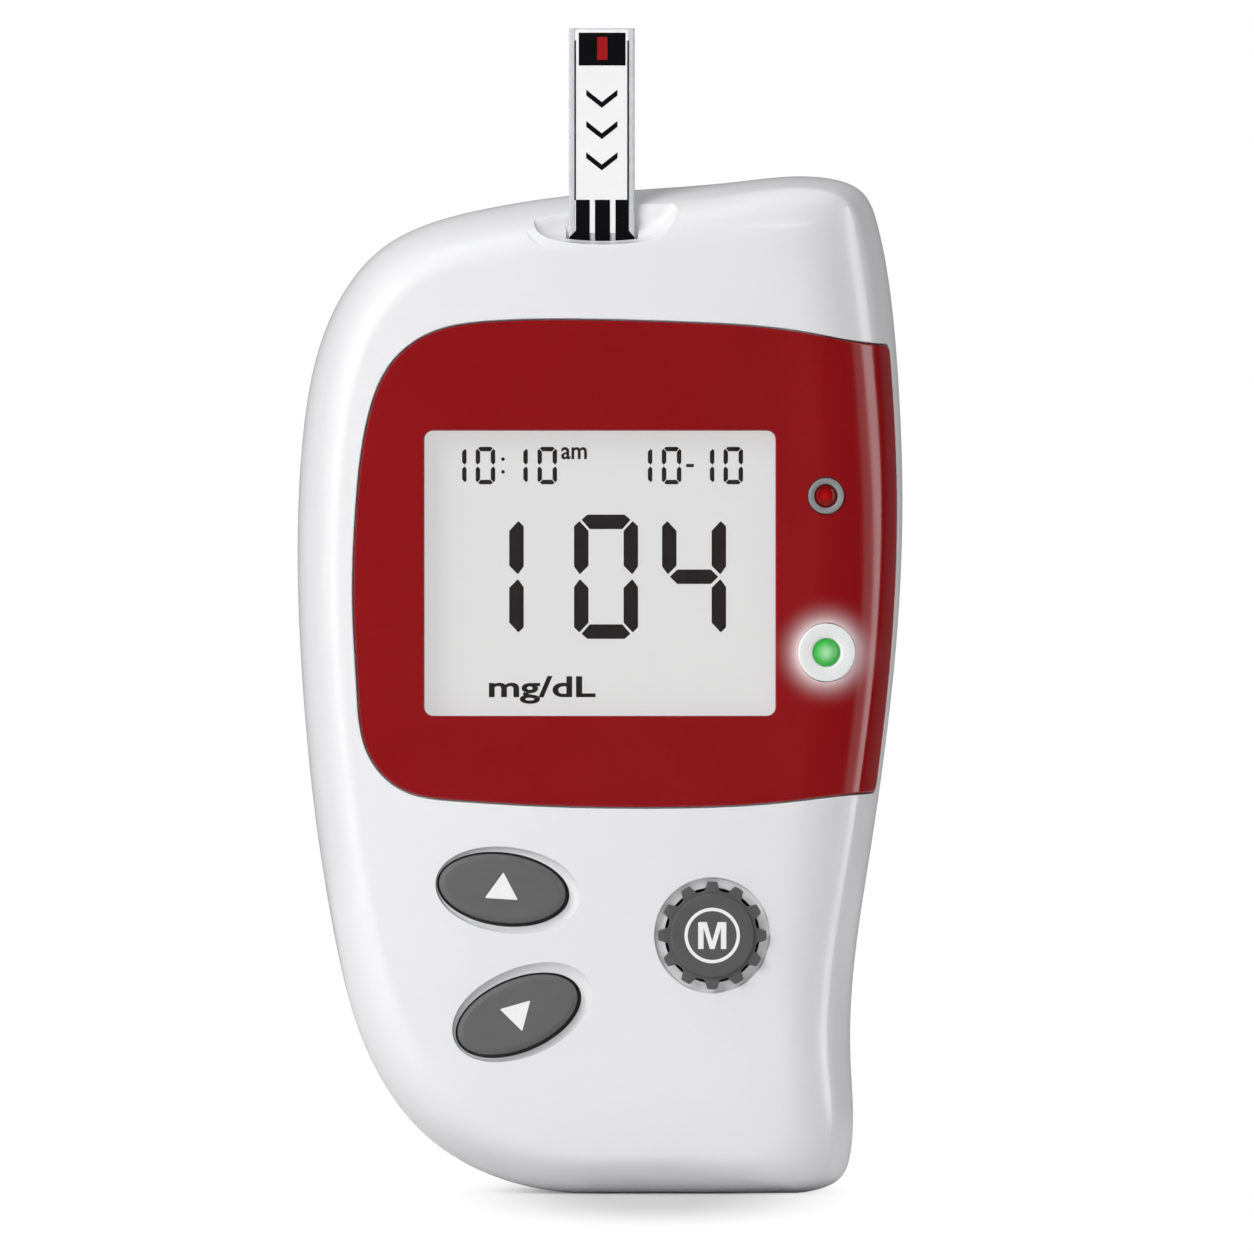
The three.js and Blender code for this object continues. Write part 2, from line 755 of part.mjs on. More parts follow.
function frontPilots() {
  return postPlaces.map((place) => rod(
    pilotRadius, seatY - screwLength - fitGap, cutOverrun, place, smallSides));
}

function rearPosts() {
  return postPlaces.map((place) => rod(rearPostRadius, fitGap / 2, rearY, place, smallSides)
    .intersect(rearBody(rearWall / 2)));
}

function rearBores() {
  return postPlaces.flatMap((place) => [
    rod(pilotRadius, -cutOverrun, rearY, place, smallSides),
    rod(screwHeadRadius + fitGap, seatY, rearY + cutOverrun, place, smallSides),
  ]);
}

function screw() {
  const centre = new THREE.Vector3();
  const cross = [[screwSlotWidth, 2 * screwRadius], [2 * screwRadius, screwSlotWidth]].map(([w, h]) => block(
    w, screwHeadHeight - screwSlotDepth, screwHeadHeight + cutOverrun, h, centre));
  return without(
    joined(
      rod(screwRadius, -screwLength, screwHeadHeight / 2, centre, smallSides),
      rod(screwHeadRadius, 0, screwHeadHeight, centre, smallSides),
    ),
    ...cross,
  );
}

// Shells

function frontShell() {
  const walls = frontForm.subtract(frontBody(frontWall, cutOverrun));
  const paneHole = slab(openingShape(windowBorder + fitGap), buttonTopY - cutOverrun, 0);
  const holderSide = holderWall + 2 * fitGap;
  const displayBay = block(
    lcdWidth + 2 * holderSide, lcdY - fitGap, 0, lcdHeight + 2 * holderSide, openingPlace);
  return without(
    joined(walls, ...frontPosts(), stripGuide),
    platePocket,
    paneHole,
    displayBay,
    ...lampHoles,
    ...lampBores,
    ...buttonWells,
    ...buttonHoles,
    stripNotch,
    stripSlot,
    ...frontPilots(),
  );
}

const bayPlace = placeOf(bayShares);
const cellX = cellRadius + fitGap / 2;
const bayWidth = 4 * cellRadius + 3 * fitGap;
const cellsHeight = cellLength + cellNubHeight;
const bayHeight = cellsHeight + 2 * (springLength + 2 * fitGap + contactThickness + fitGap);
const coverWidth = bayWidth + 2 * coverMargin;
const coverHeight = bayHeight + 2 * coverMargin;
const coverTopZ = bayPlace.z + coverHeight / 2;
const hookXs = [-1, 1].map((side) => bayPlace.x + side * bayWidth / 4);
const hookY = coverY - fitGap - hookThickness;
const ledgeY = coverY - fitGap;
const hookRootZ = bayPlace.z + bayHeight / 2 + fitGap;

function rearShell() {
  const walls = rearBody(0).subtract(rearBody(rearWall, -cutOverrun));
  const tray = block(
    bayWidth + 2 * trayWall, trayY, rearY - rearWall / 2, bayHeight + 2 * trayWall, bayPlace);
  const framePlace = bayPlace.clone().setZ(bayPlace.z + hookReach / 2);
  const frame = block(coverWidth + 2 * frameWidth, ledgeY - frameDepth, rearY - rearWall / 2,
    coverHeight + 2 * frameWidth + hookReach, framePlace);
  const bay = block(bayWidth, trayY + trayWall, rearY + cutOverrun, bayHeight, bayPlace);
  const recess = slab(
    roundedShape(coverWidth + 2 * fitGap, coverHeight + 2 * fitGap, coverCorner + fitGap, bayPlace),
    ledgeY, rearY + cutOverrun);
  const hookSlots = hookXs.map((x) => betweenHeights(
    hookWidth + 2 * fitGap, ledgeY - frameDepth - cutOverrun, coverY + fitGap / 2,
    bayPlace.z + bayHeight / 2 - cutOverrun, coverTopZ + hookReach + fitGap, x));
  return without(joined(walls, tray, frame, ...rearPosts()), bay, recess, ...hookSlots, ...rearBores());
}

// Cover: its hooks reach up under the shell's back wall, and it turns about its upper outer edge
function batteryCover() {
  const panel = slab(roundedShape(coverWidth, coverHeight, coverCorner, bayPlace), coverY, rearY);
  const hooks = hookXs.flatMap((x) => [
    betweenHeights(hookWidth, hookY, coverY + coverThickness / 2, hookRootZ, hookRootZ + hookRoot, x),
    betweenHeights(hookWidth, hookY, hookY + hookThickness, hookRootZ, coverTopZ + hookReach - fitGap, x),
  ]);
  const thumb = new THREE.SphereGeometry(thumbRadius, smallSides, smallSides);
  const thumbZ = bayPlace.z - coverHeight / 2 + thumbRadius;
  thumb.scale(1, 2 * thumbDepth / thumbRadius, 1 / 2);
  thumb.translate(bayPlace.x, rearY + thumbDepth, thumbZ);
  return joined(panel, ...hooks).subtract(solidOf(thumb));
}

// Cells, springs and contacts

function cell() {
  const bottom = -cellsHeight / 2;
  const shoulder = bottom + cellLength;
  const profile = [
    [0, bottom],
    [cellRadius - cellCrimp, bottom],
    [cellRadius, bottom + cellCrimp],
    [cellRadius, shoulder - cellCrimp],
    [cellRadius - cellCrimp, shoulder],
    [cellNubRadius, shoulder],
    [cellNubRadius, shoulder + cellNubHeight],
    [0, shoulder + cellNubHeight],
  ];
  const can = new THREE.LatheGeometry(profile.map(([r, h]) => new THREE.Vector2(r, h)), smallSides);
  return solidOf(can.rotateX(Math.PI / 2));
}

class ConeSpring extends THREE.Curve {
  getPoint(share, target = new THREE.Vector3()) {
    const angle = share * springTurns * 2 * Math.PI;
    const radius = THREE.MathUtils.lerp(springWide, springNarrow, share);
    const rise = share * (springLength - 2 * springWire);
    return target.set(radius * Math.cos(angle), radius * Math.sin(angle), rise);
  }
}

function coneSpring() {
  const wire = new THREE.Shape().absarc(0, 0, springWire, 0, 2 * Math.PI);
  const coil = new THREE.ExtrudeGeometry(wire, {
    steps: springTurns * 10,
    extrudePath: new ConeSpring(),
    curveSegments: 3,
    bevelEnabled: false,
  });
  return solidOf(coil);
}

const cellLowZ = bayPlace.z - cellsHeight / 2;
const cellHighZ = bayPlace.z + cellsHeight / 2;
const plateLowZ = bayPlace.z - bayHeight / 2 + fitGap;
const plateHighZ = bayPlace.z + bayHeight / 2 - fitGap;
const contactFrontY = cellY - contactHeight / 2;
const contactBackY = Math.min(cellY + contactHeight / 2, hookY - fitGap);

function bumpUpTo(x, lowZ, highZ) {
  const bump = new THREE.CylinderGeometry(contactBump, contactBump, highZ - lowZ, smallSides);
  return solidOf(bump.rotateX(Math.PI / 2).translate(x, cellY, (lowZ + highZ) / 2));
}

function bridgeContact() {
  return joined(
    betweenHeights(contactWidth + 2 * cellX, contactFrontY, contactBackY,
      plateLowZ, plateLowZ + contactThickness, bayPlace.x),
    bumpUpTo(bayPlace.x + cellX, plateLowZ + contactThickness / 2, cellLowZ - fitGap),
  );
}

function contactPlate(x) {
  return betweenHeights(
    contactWidth, contactFrontY, contactBackY, plateHighZ - contactThickness, plateHighZ, x);
}

// Display, board and switches

const elastomerZs = [-1, 1].map((side) => openingPlace.z + side * (lcdHeight / 2 - elastomerWidth));

function lcdHolder() {
  const outer = block(lcdWidth + 2 * (fitGap + holderWall), lcdY, boardY,
    lcdHeight + 2 * (fitGap + holderWall), openingPlace);
  const seat = block(
    lcdWidth + 2 * fitGap, lcdY - cutOverrun, elastomerY, lcdHeight + 2 * fitGap, openingPlace);
  const middle = block(lcdWidth - 2 * holderLedge, elastomerY - cutOverrun, boardY + cutOverrun,
    lcdHeight - 4 * holderLedge, openingPlace);
  const channels = elastomerZs.map((z) => block(lcdWidth - 2 * lcdBorder + 2 * fitGap,
    elastomerY - cutOverrun, boardY + cutOverrun, elastomerWidth + 2 * fitGap,
    openingPlace.clone().setZ(z)));
  return without(outer, seat, middle, ...channels);
}

function mainBoard() {
  const line = rimLine.map((_, i) => movedIn(i, boardMargin, 0));
  const holes = postPlaces.map((place) => rod(
    frontPostRadius + fitGap, boardY - cutOverrun, boardBackY + cutOverrun, place, smallSides));
  return without(slab(shapeOf(line), boardY, boardBackY), ...holes);
}

function switchHousing(place) {
  const housing = block(switchSide, boardY - switchHeight, boardY, switchSide, place);
  const well = rod(plungerRadius + fitGap, boardY - switchHeight - cutOverrun,
    boardY - switchHeight + plungerSunk + buttonTravel + fitGap / 2, place, smallSides);
  return housing.subtract(well);
}

function switchPlunger(place) {
  return rod(plungerRadius, plungerTopY, boardY - switchHeight + plungerSunk, place, smallSides);
}

// Lamps: a bezel and a lens set square to the skin, and the lamp body under them on the board

function lampBezel(lamp) {
  return lampRod(lamp, lamp.bezel, -bezelProud, bezelHeight)
    .subtract(lampRod(lamp, lamp.lens + fitGap / 2, -cutOverrun, bezelHeight + cutOverrun));
}

function lampLens(lamp) {
  const profile = [
    [0, -lensDome],
    [lamp.lens / 2, -lensDome * 0.85],
    [lamp.lens * 0.87, -lensDome / 2],
    [lamp.lens, 0],
    [lamp.lens, lensLength],
    [0, lensLength],
  ];
  const lens = new THREE.LatheGeometry(profile.map(([r, y]) => new THREE.Vector2(r, y)), smallSides);
  return solidOf(lens.translate(0, lensDome / 2, 0).applyMatrix4(lamp.toSkin));
}

function lampBody(lamp) {
  const tipY = boardY - lampHeight;
  const profile = [
    [0, tipY],
    [lampRadius / 2, tipY + lampRim / 2],
    [lampRadius - lampRim, tipY + lampRadius / 2],
    [lampRadius - lampRim, boardY - lampRim],
    [lampRadius, boardY - lampRim],
    [lampRadius, boardY],
    [0, boardY],
  ];
  const body = new THREE.LatheGeometry(profile.map(([r, y]) => new THREE.Vector2(r, y)), smallSides);
  return solidOf(body.translate(lamp.place.x, 0, lamp.place.z));
}

// Parts on the back of the board

function chip(side, place) {
  return block(side, boardBackY, boardBackY + chipHeight, side, place);
}

function crystal(place) {
  const can = new THREE.CapsuleGeometry(crystalRadius, crystalLength - 2 * crystalRadius, 2, smallSides);
  const below = boardBackY + crystalRadius;
  return solidOf(can.rotateX(Math.PI / 2).translate(place.x, below, place.z));
}

function buzzer(place) {
  const backY = boardBackY + buzzerHeight;
  return rod(buzzerRadius, boardBackY, backY, place).subtract(
    rod(buzzerPort, boardBackY + buzzerHeight / 2, backY + cutOverrun, place, smallSides));
}

// Assembly

addPiece('front_shell', frontShell(), whiteGloss);
addPiece('rear_shell', rearShell(), whiteGloss);
addPiece('faceplate', faceplate(), redGloss);
addPiece('display_window',
  slab(openingShape(windowBorder), windowY, windowY + windowThickness), clearPane);
addPiece('lcd_panel', block(lcdWidth, lcdY, elastomerY, lcdHeight, openingPlace), lcdGrey);
addPiece('lcd_holder', lcdHolder(), whiteMoulding);
for (const [end, z] of [['lower', elastomerZs[0]], ['upper', elastomerZs[1]]]) {
  addPiece(`lcd_connector_${end}`, block(lcdWidth - 2 * lcdBorder, elastomerY, boardY, elastomerWidth,
    openingPlace.clone().setZ(z)), rubberGrey);
}
addPiece('main_board', mainBoard(), boardGreen);

addPiece('up_button', ovalButton(upPlace, upTurn), greyKey);
addPiece('down_button', ovalButton(downPlace, downTurn), greyKey);
addPiece('memory_button', memoryButton(), greyKey);
for (const [name, place] of [['up', upPlace], ['down', downPlace], ['memory', memoryPlace]]) {
  addPiece(`${name}_switch`, switchHousing(place), blackMoulding);
  addPiece(`${name}_switch_plunger`, switchPlunger(place), greyMoulding);
}

for (const lamp of lamps) {
  const red = lamp.name === 'red';
  addPiece(`${lamp.name}_lamp_bezel`, lampBezel(lamp), red ? greyMoulding : whiteMoulding);
  addPiece(`${lamp.name}_lamp_lens`, lampLens(lamp), red ? darkRed : litGreen);
  addPiece(`${lamp.name}_lamp_body`, lampBody(lamp), red ? darkRed : litGreen);
}

addPiece('strip_port', stripPort(), blackMoulding);
['left', 'middle', 'right'].forEach((side, i) => {
  addPiece(`port_contact_${side}`, portContact(contactPlaces[i]), gold);
});
addPiece('test_strip', testStrip(), stripPlastic);
addPiece('test_strip_film', stripFilm(), whiteMoulding);

const leftCell = addPiece('cell_left', cell(), cellWrap);
leftCell.position.set(bayPlace.x - cellX, cellY, bayPlace.z);
const rightCell = addPiece('cell_right', cell(), cellWrap);
rightCell.position.set(bayPlace.x + cellX, cellY, bayPlace.z);
rightCell.rotation.x = Math.PI;
const lowerSpring = addPiece('cell_spring_lower', coneSpring(), nickel);
lowerSpring.position.set(bayPlace.x - cellX, cellY, plateLowZ + contactThickness + springWire + fitGap / 2);
const upperSpring = addPiece('cell_spring_upper', coneSpring(), nickel);
upperSpring.position.set(bayPlace.x + cellX, cellY, plateHighZ - contactThickness - springWire - fitGap / 2);
upperSpring.rotation.x = Math.PI;
addPiece('contact_bridge', bridgeContact(), nickel);
addPiece('contact_negative', contactPlate(bayPlace.x + cellX), nickel);
addPiece('contact_positive', joined(
  contactPlate(bayPlace.x - cellX),
  bumpUpTo(bayPlace.x - cellX, cellHighZ + fitGap, plateHighZ - contactThickness / 2),
), nickel);
addPiece('battery_cover', batteryCover(), whiteGloss);

postPlaces.forEach((place, i) => {
  addPiece(`case_screw_${i + 1}`, screw(), nickel).position.set(place.x, seatY, place.z);
});

addPiece('microcontroller', chip(controllerSide, placeOf(controllerShares)), blackMoulding);
addPiece('measuring_amplifier', chip(chipSmallSide, placeOf(amplifierShares)), blackMoulding);
addPiece('memory_chip', chip(chipSmallSide, placeOf(memoryChipShares)), blackMoulding);
addPiece('crystal', crystal(placeOf(crystalShares)), nickel);
addPiece('buzzer', buzzer(placeOf(buzzerShares)), blackMoulding);

export default meter;
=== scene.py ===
# Blood glucose meter: a white gloss case with a red faceplate, grey keys, two lamps and a test strip.
# It stands on its foot. +X is right seen from the front, +Y goes into the meter, +Z is up.
# All shapes are worked out in millimetres and go into the meshes in metres.
import math
import bpy
import numpy as np
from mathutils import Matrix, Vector
from mathutils.geometry import tessellate_polygon


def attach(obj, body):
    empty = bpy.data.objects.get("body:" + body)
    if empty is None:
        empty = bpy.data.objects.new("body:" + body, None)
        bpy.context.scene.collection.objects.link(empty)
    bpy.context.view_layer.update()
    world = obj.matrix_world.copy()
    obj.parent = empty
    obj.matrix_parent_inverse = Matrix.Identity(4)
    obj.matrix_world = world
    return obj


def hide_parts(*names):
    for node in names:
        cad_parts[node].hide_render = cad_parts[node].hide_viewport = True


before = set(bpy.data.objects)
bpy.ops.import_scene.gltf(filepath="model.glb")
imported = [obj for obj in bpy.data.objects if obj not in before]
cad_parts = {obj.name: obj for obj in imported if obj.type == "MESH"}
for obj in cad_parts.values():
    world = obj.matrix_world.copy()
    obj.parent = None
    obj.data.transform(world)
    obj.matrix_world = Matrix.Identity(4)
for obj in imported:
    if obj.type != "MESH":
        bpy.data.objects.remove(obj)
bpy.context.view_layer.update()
scene = bpy.context.scene
metresPerMm = 0.001
workCollection = scene.collection
# least dot product of a carried normal and its face's own
normalMatch = 0.9


# A mesh object from corners in millimetres. The mark "cut" on its faces tells the skin that a piece began
# with (0) from what a cutter leaves (1).
def meshObject(name, corners, faces, cut=0):
    mesh = bpy.data.meshes.new(name)
    mesh.from_pydata((np.asarray(corners) * metresPerMm).tolist(), [], faces)
    mark = mesh.attributes.new("cut", "INT", "FACE")
    mark.data.foreach_set("value", np.full(len(mesh.polygons), cut, np.int32))
    piece = bpy.data.objects.new(name, mesh)
    workCollection.objects.link(piece)
    return piece


# Quads from rows of points to the rows after them, given the number of each row's first point
def quadsBetween(starts, nexts, count):
    here = np.arange(count)
    ahead = (here + 1) % count
    return np.stack([starts + here, starts + ahead, nexts + ahead, nexts + here], -1).reshape(-1, 4)


# -1 where triangles face inward, else 1: the sign of the volume that they hold, a sixth of the sum of
# p . (q x r)
def turnSign(corners, triangles):
    p = corners[triangles]
    return -1 if np.einsum("ij,ij->i", p[:, 0], np.cross(p[:, 1], p[:, 2])).sum() < 0 else 1


# A closed skin through rows of points, facing outward: quads between neighbouring rows and a fan to a pole
# at each end, or one flat face there
def closedForm(name, rows, firstPole=None, lastPole=None, cut=0, flatEnds=False):
    rows = np.asarray(rows, float)
    count = rows.shape[1]
    firstPole = rows[0].mean(0) if firstPole is None else firstPole
    lastPole = rows[-1].mean(0) if lastPole is None else lastPole
    corners = np.vstack([rows.reshape(-1, 3), [firstPole, lastPole]])
    starts = (np.arange(len(rows) - 1) * count)[:, None]
    quads = quadsBetween(starts, starts + count, count)
    here = np.arange(count)
    ahead = (here + 1) % count
    end = (len(rows) - 1) * count
    pole = np.full(count, len(corners) - 2)
    ends = np.vstack([np.stack([pole, ahead, here], -1), np.stack([pole + 1, end + here, end + ahead], -1)])
    turned = turnSign(corners, np.vstack([quads[:, :3], quads[:, [0, 2, 3]], ends]))
    if flatEnds:
        corners = corners[:-2]
        ends = flatTriangles(rows[0])
        ends = np.vstack([ends[:, ::-1], end + ends])
    return meshObject(name, corners, quads[:, ::turned].tolist() + ends[:, ::turned].tolist(), cut)


# A closed skin of rows that close on themselves both ways, as on a ring
def wrappedForm(name, rows):
    rows = np.asarray(rows, float)
    total, count = rows.shape[:2]
    starts = (np.arange(total) * count)[:, None]
    quads = quadsBetween(starts, np.roll(starts, -1, 0), count)
    corners = rows.reshape(-1, 3)
    turned = turnSign(corners, np.vstack([quads[:, :3], quads[:, [0, 2, 3]]]))
    return meshObject(name, corners, quads[:, ::turned].tolist(), 0)


# A flat outline cut into triangles, all turned the way that the outline itself goes round. It is done in
# millimetres, because the same shape in metres is too small for it.
def flatTriangles(loop):
    normal = np.cross(loop, np.roll(loop, -1, 0)).sum(0)
    triangles = np.array(tessellate_polygon([[Vector(point) for point in loop]]))
    p = loop[triangles]
    side = np.cross(p[:, 1] - p[:, 0], p[:, 2] - p[:, 0]) @ normal
    triangles[side < 0] = triangles[side < 0][:, ::-1]
    return triangles


# Points of a flat loop in the plane of the face, at one depth each row. Rows are (offset outward, depth).
def depthRows(loop, rows):
    return np.array([np.insert(grown(loop, offset), 1, depth, axis=1) for offset, depth in rows])


# Each point of a closed flat loop moved square to the line through its neighbours; outward if positive.
def grown(loop, distance):
    along = np.roll(loop, -1, 0) - np.roll(loop, 1, 0)
    along /= np.linalg.norm(along, axis=1)[:, None]
    return loop + distance * np.stack([along[:, 1], -along[:, 0]], -1)


# Angles round a full turn, evenly spaced, the first at zero
def roundTurn(count):
    return np.linspace(0, 2 * math.pi, count, endpoint=False)


# The mesh of a piece with its modifiers applied
def evaluated(piece):
    depsgraph = bpy.context.evaluated_depsgraph_get()
    return bpy.data.meshes.new_from_object(
        piece.evaluated_get(depsgraph), preserve_all_data_layers=True, depsgraph=depsgraph)


# Takes a piece out of the scene together with its mesh
def drop(piece):
    mesh = piece.data
    bpy.data.objects.remove(piece)
    bpy.data.meshes.remove(mesh)


# Cuts a piece with each cutter in turn, or joins or intersects them, and drops the cutter
def carve(piece, cutters, operation="DIFFERENCE"):
    for cutter in cutters:
        step = piece.modifiers.new("carve", "BOOLEAN")
        step.solver = "MANIFOLD"
        step.operation = operation
        step.object = cutter
        bpy.context.view_layer.update()
        result = evaluated(piece)
        piece.modifiers.clear()
        old = piece.data
        piece.data = result
        bpy.data.meshes.remove(old)
        if not len(result.polygons):
            raise ValueError(f"nothing is left of {piece.name} after {cutter.name}")
        drop(cutter)


# A copy of a piece as it is, whose normals shade() takes once the piece is cut
def spareCopy(piece):
    spare = piece.copy()
    spare.data = piece.data.copy()
    workCollection.objects.link(spare)
    return spare


# The normals at a mesh's face corners, one row each
def cornerNormals(mesh):
    values = np.empty(len(mesh.loops) * 3, np.float32)
    mesh.corner_normals.foreach_get("vector", values)
    return values.reshape(-1, 3)


# Smooth shading with sharp edges past an angle. Where the uncut form is given, the skin that no cutter
# touched takes its normals, so that a curved gloss skin keeps its reflections whole. A normal that leans
# too far from its face, as it does beside the seam's chamfer, isn't taken. The form is dropped.
def shade(piece, angle=32, form=None):
    mesh = piece.data
    mesh.name = piece.name
    mesh.shade_smooth()
    mesh.set_sharp_from_angle(angle=math.radians(angle))
    if form is None:
        return
    form.data.shade_smooth()
    form.data.set_sharp_from_angle(angle=math.radians(angle))
    probe = bpy.data.objects.new("probe", mesh.copy())
    workCollection.objects.link(probe)
    probe.data.shade_smooth()
    step = probe.modifiers.new("normals", "DATA_TRANSFER")
    step.object = form
    step.use_loop_data = True
    step.data_types_loops = {"CUSTOM_NORMAL"}
    step.loop_mapping = "POLYINTERP_NEAREST"
    bpy.context.view_layer.update()
    carried = evaluated(probe)
    own = cornerNormals(mesh)
    other = cornerNormals(carried)
    marks = np.empty(len(mesh.polygons), np.int32)
    mesh.attributes["cut"].data.foreach_get("value", marks)
    counts = np.empty(len(mesh.polygons), np.int32)
    mesh.polygons.foreach_get("loop_total", counts)
    flats = np.empty(len(mesh.polygons) * 3, np.float32)
    mesh.polygons.foreach_get("normal", flats)
    fits = (other * np.repeat(flats.reshape(-1, 3), counts, 0)).sum(1) > normalMatch
    uncut = np.repeat(marks == 0, counts) & fits
    own[uncut] = other[uncut]
    mesh.normals_split_custom_set(own.tolist())
    bpy.data.meshes.remove(carried)
    drop(probe)
    drop(form)


# Gives a finished piece to its body, hides its CAD node, and lays its material on
def place(piece, node, finish, bodyName="meter"):
    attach(piece, bodyName)
    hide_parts(node)
    piece.data.materials.clear()
    piece.data.materials.append(finishes[finish])


body = {
    "width": 56.2,
    "height": 94.2,
    "samples": 480,
    "faceY": -10.75,
    "crown": 0.6,
    "rollAtFoot": 6.0,
    "rollAtTop": 9.0,
    "creaseInset": 1.65,
    "creaseDepthShare": 0.32,
    "wallPower": 1.6,
    "arcPower": 2.2,
    "creaseSoftness": 0.18,
    "leastArcShare": 0.55,
    "arcGather": 1.6,
    "faceCentreShares": (0.450, 0.497),
    "rearY": 11.15,
    "rearRoll": 5.0,
    "rearRollShare": 0.7,
    "frontWall": 2.0,
    "rearWall": 1.8,
    "seamGap": 0.06,
    "seamChamfer": 0.16,
    "seamRoom": 0.1,
    # rim x, rim z, face x, face z, as shares of the width and height
    "shares": [
        (0.459, 0.000, 0.475, 0.043), (0.649, 0.000, 0.632, 0.043), (0.830, 0.000, 0.739, 0.043),
        (0.896, 0.014, 0.774, 0.053), (0.915, 0.043, 0.782, 0.078), (0.914, 0.132, 0.781, 0.142),
        (0.921, 0.231, 0.779, 0.231), (0.946, 0.334, 0.790, 0.344), (0.977, 0.467, 0.809, 0.467),
        (0.995, 0.585, 0.823, 0.585), (1.000, 0.694, 0.830, 0.694), (0.993, 0.802, 0.827, 0.797),
        (0.977, 0.900, 0.814, 0.881), (0.960, 0.952, 0.797, 0.918), (0.936, 0.985, 0.771, 0.932),
        (0.880, 1.000, 0.731, 0.936), (0.731, 0.997, 0.649, 0.936), (0.500, 0.986, 0.467, 0.929),
        (0.302, 0.969, 0.318, 0.916), (0.137, 0.930, 0.193, 0.889), (0.053, 0.861, 0.124, 0.836),
        (0.010, 0.753, 0.087, 0.743), (0.000, 0.630, 0.076, 0.630), (0.010, 0.487, 0.087, 0.492),
        (0.031, 0.364, 0.111, 0.376), (0.064, 0.245, 0.142, 0.265), (0.116, 0.139, 0.190, 0.169),
        (0.196, 0.066, 0.256, 0.109), (0.318, 0.018, 0.355, 0.063),
    ],
}


# A place on the face from shares of the body's width, counted from its left, and of its height
def placeOf(shares):
    shares = np.asarray(shares, float)
    return np.stack([(shares[..., 0] - 0.5) * body["width"], shares[..., 1] * body["height"]], -1)


# sRGB hex to linear: each channel over 12.92 when dark, else ((c + 0.055) / 1.055) to the power 2.4
def linear(code):
    channels = np.array([int(code[i:i + 2], 16) for i in (1, 3, 5)]) / 255
    low = channels / 12.92
    return (*np.where(channels <= 0.04045, low, ((channels + 0.055) / 1.055) ** 2.4), 1.0)


# Adds a node with its settings; each input is a value, or another node's output to link
def addNode(tree, kind, settings=None, inputs=None):
    node = tree.nodes.new(kind)
    for key, value in (settings or {}).items():
        setattr(node, key, value)
    for key, value in (inputs or {}).items():
        if isinstance(value, bpy.types.NodeSocket):
            tree.links.new(value, node.inputs[key])
        else:
            node.inputs[key].default_value = value
    return node


# A pattern's scale for features of a size in millimetres, as patterns count them per metre
def perMetre(sizeMm):
    return 1000.0 / sizeMm


# Kinds of node that are used often, with their settings
colourMix = ("ShaderNodeMix", {"data_type": "RGBA"})
smoothRange = ("ShaderNodeMapRange", {"interpolation_type": "SMOOTHSTEP"})


# A material, its tree and shader with the look's sockets set, and the spot on the object to read patterns at
def newMaterial(name, look):
    material = bpy.data.materials.new(name)
    material.use_nodes = True
    tree = material.node_tree
    shader = tree.nodes["Principled BSDF"]
    for key, value in look.get("sockets", {}).items():
        shader.inputs[key].default_value = value
    spots = addNode(tree, "ShaderNodeTexCoord").outputs["Object"]
    return material, tree, shader, spots


# Ends a material: the colour, a roughness between two values that follows a pattern across a span of its
# values, and a bump of a real height in millimetres that follows another.
def finishShader(tree, shader, colour, pattern, roughness, height, depthMm, strength=0.3, span=(0.3, 0.7)):
    tree.links.new(colour, shader.inputs["Base Color"])
    if roughness:
        rough = addNode(tree, "ShaderNodeMapRange", None, {
            0: pattern, 1: span[0], 2: span[1], 3: roughness[0], 4: roughness[1]})
        tree.links.new(rough.outputs[0], shader.inputs["Roughness"])
    bump = addNode(tree, "ShaderNodeBump", None, {
        "Strength": strength, "Distance": depthMm * metresPerMm, "Height": height})
    tree.links.new(bump.outputs[0], shader.inputs["Normal"])


# How far each spot lies, in the plane of the face, from a place given in shares
def awayFrom(tree, spots, shares):
    x, z = (c * metresPerMm for c in placeOf(shares))
    flat = addNode(tree, "ShaderNodeVectorMath", {"operation": "MULTIPLY"}, {0: spots, 1: (1, 0, 1)})
    away = addNode(tree, "ShaderNodeVectorMath", {"operation": "DISTANCE"}, {
        0: flat.outputs[0], 1: (x, 0, z)})
    return away.outputs["Value"]


# A moulded, cast or plated surface: its colour drifts between two values over driftMm, its roughness
# between two values with it, and a grain of grainMm stands grainDepth high, all in millimetres. Where a
# look has one, a painted highlight fades from a paler middle to nothing over a reach: a lamp dome's glow
# painted into its colour.
def surface(name, look):
    material, tree, shader, spots = newMaterial(name, look)
    drift = addNode(tree, "ShaderNodeTexNoise", None, {
        "Vector": spots, "Scale": perMetre(look["driftMm"]), "Detail": 4.0, "Roughness": 0.55})
    first, second = (linear(code) for code in look["colours"])
    colour = addNode(tree, *colourMix, {0: drift.outputs[0], 6: first, 7: second}).outputs[2]
    # a painted highlight: a paler colour in the dome's middle
    if "paintedGlow" in look:
        code, shares, reach, most = look["paintedGlow"]
        share = addNode(tree, *smoothRange, {
            0: awayFrom(tree, spots, shares), 1: 0.0, 2: reach * metresPerMm, 3: most, 4: 0.0})
        colour = addNode(tree, *colourMix, {0: share.outputs[0], 6: colour, 7: linear(code)}).outputs[2]
    grain = addNode(tree, "ShaderNodeTexNoise", None, {
        "Vector": spots, "Scale": perMetre(look["grainMm"]), "Detail": 2.0})
    finishShader(tree, shader, colour, drift.outputs[0], look["roughness"], grain.outputs[0],
                 look["grainDepth"])
    return material


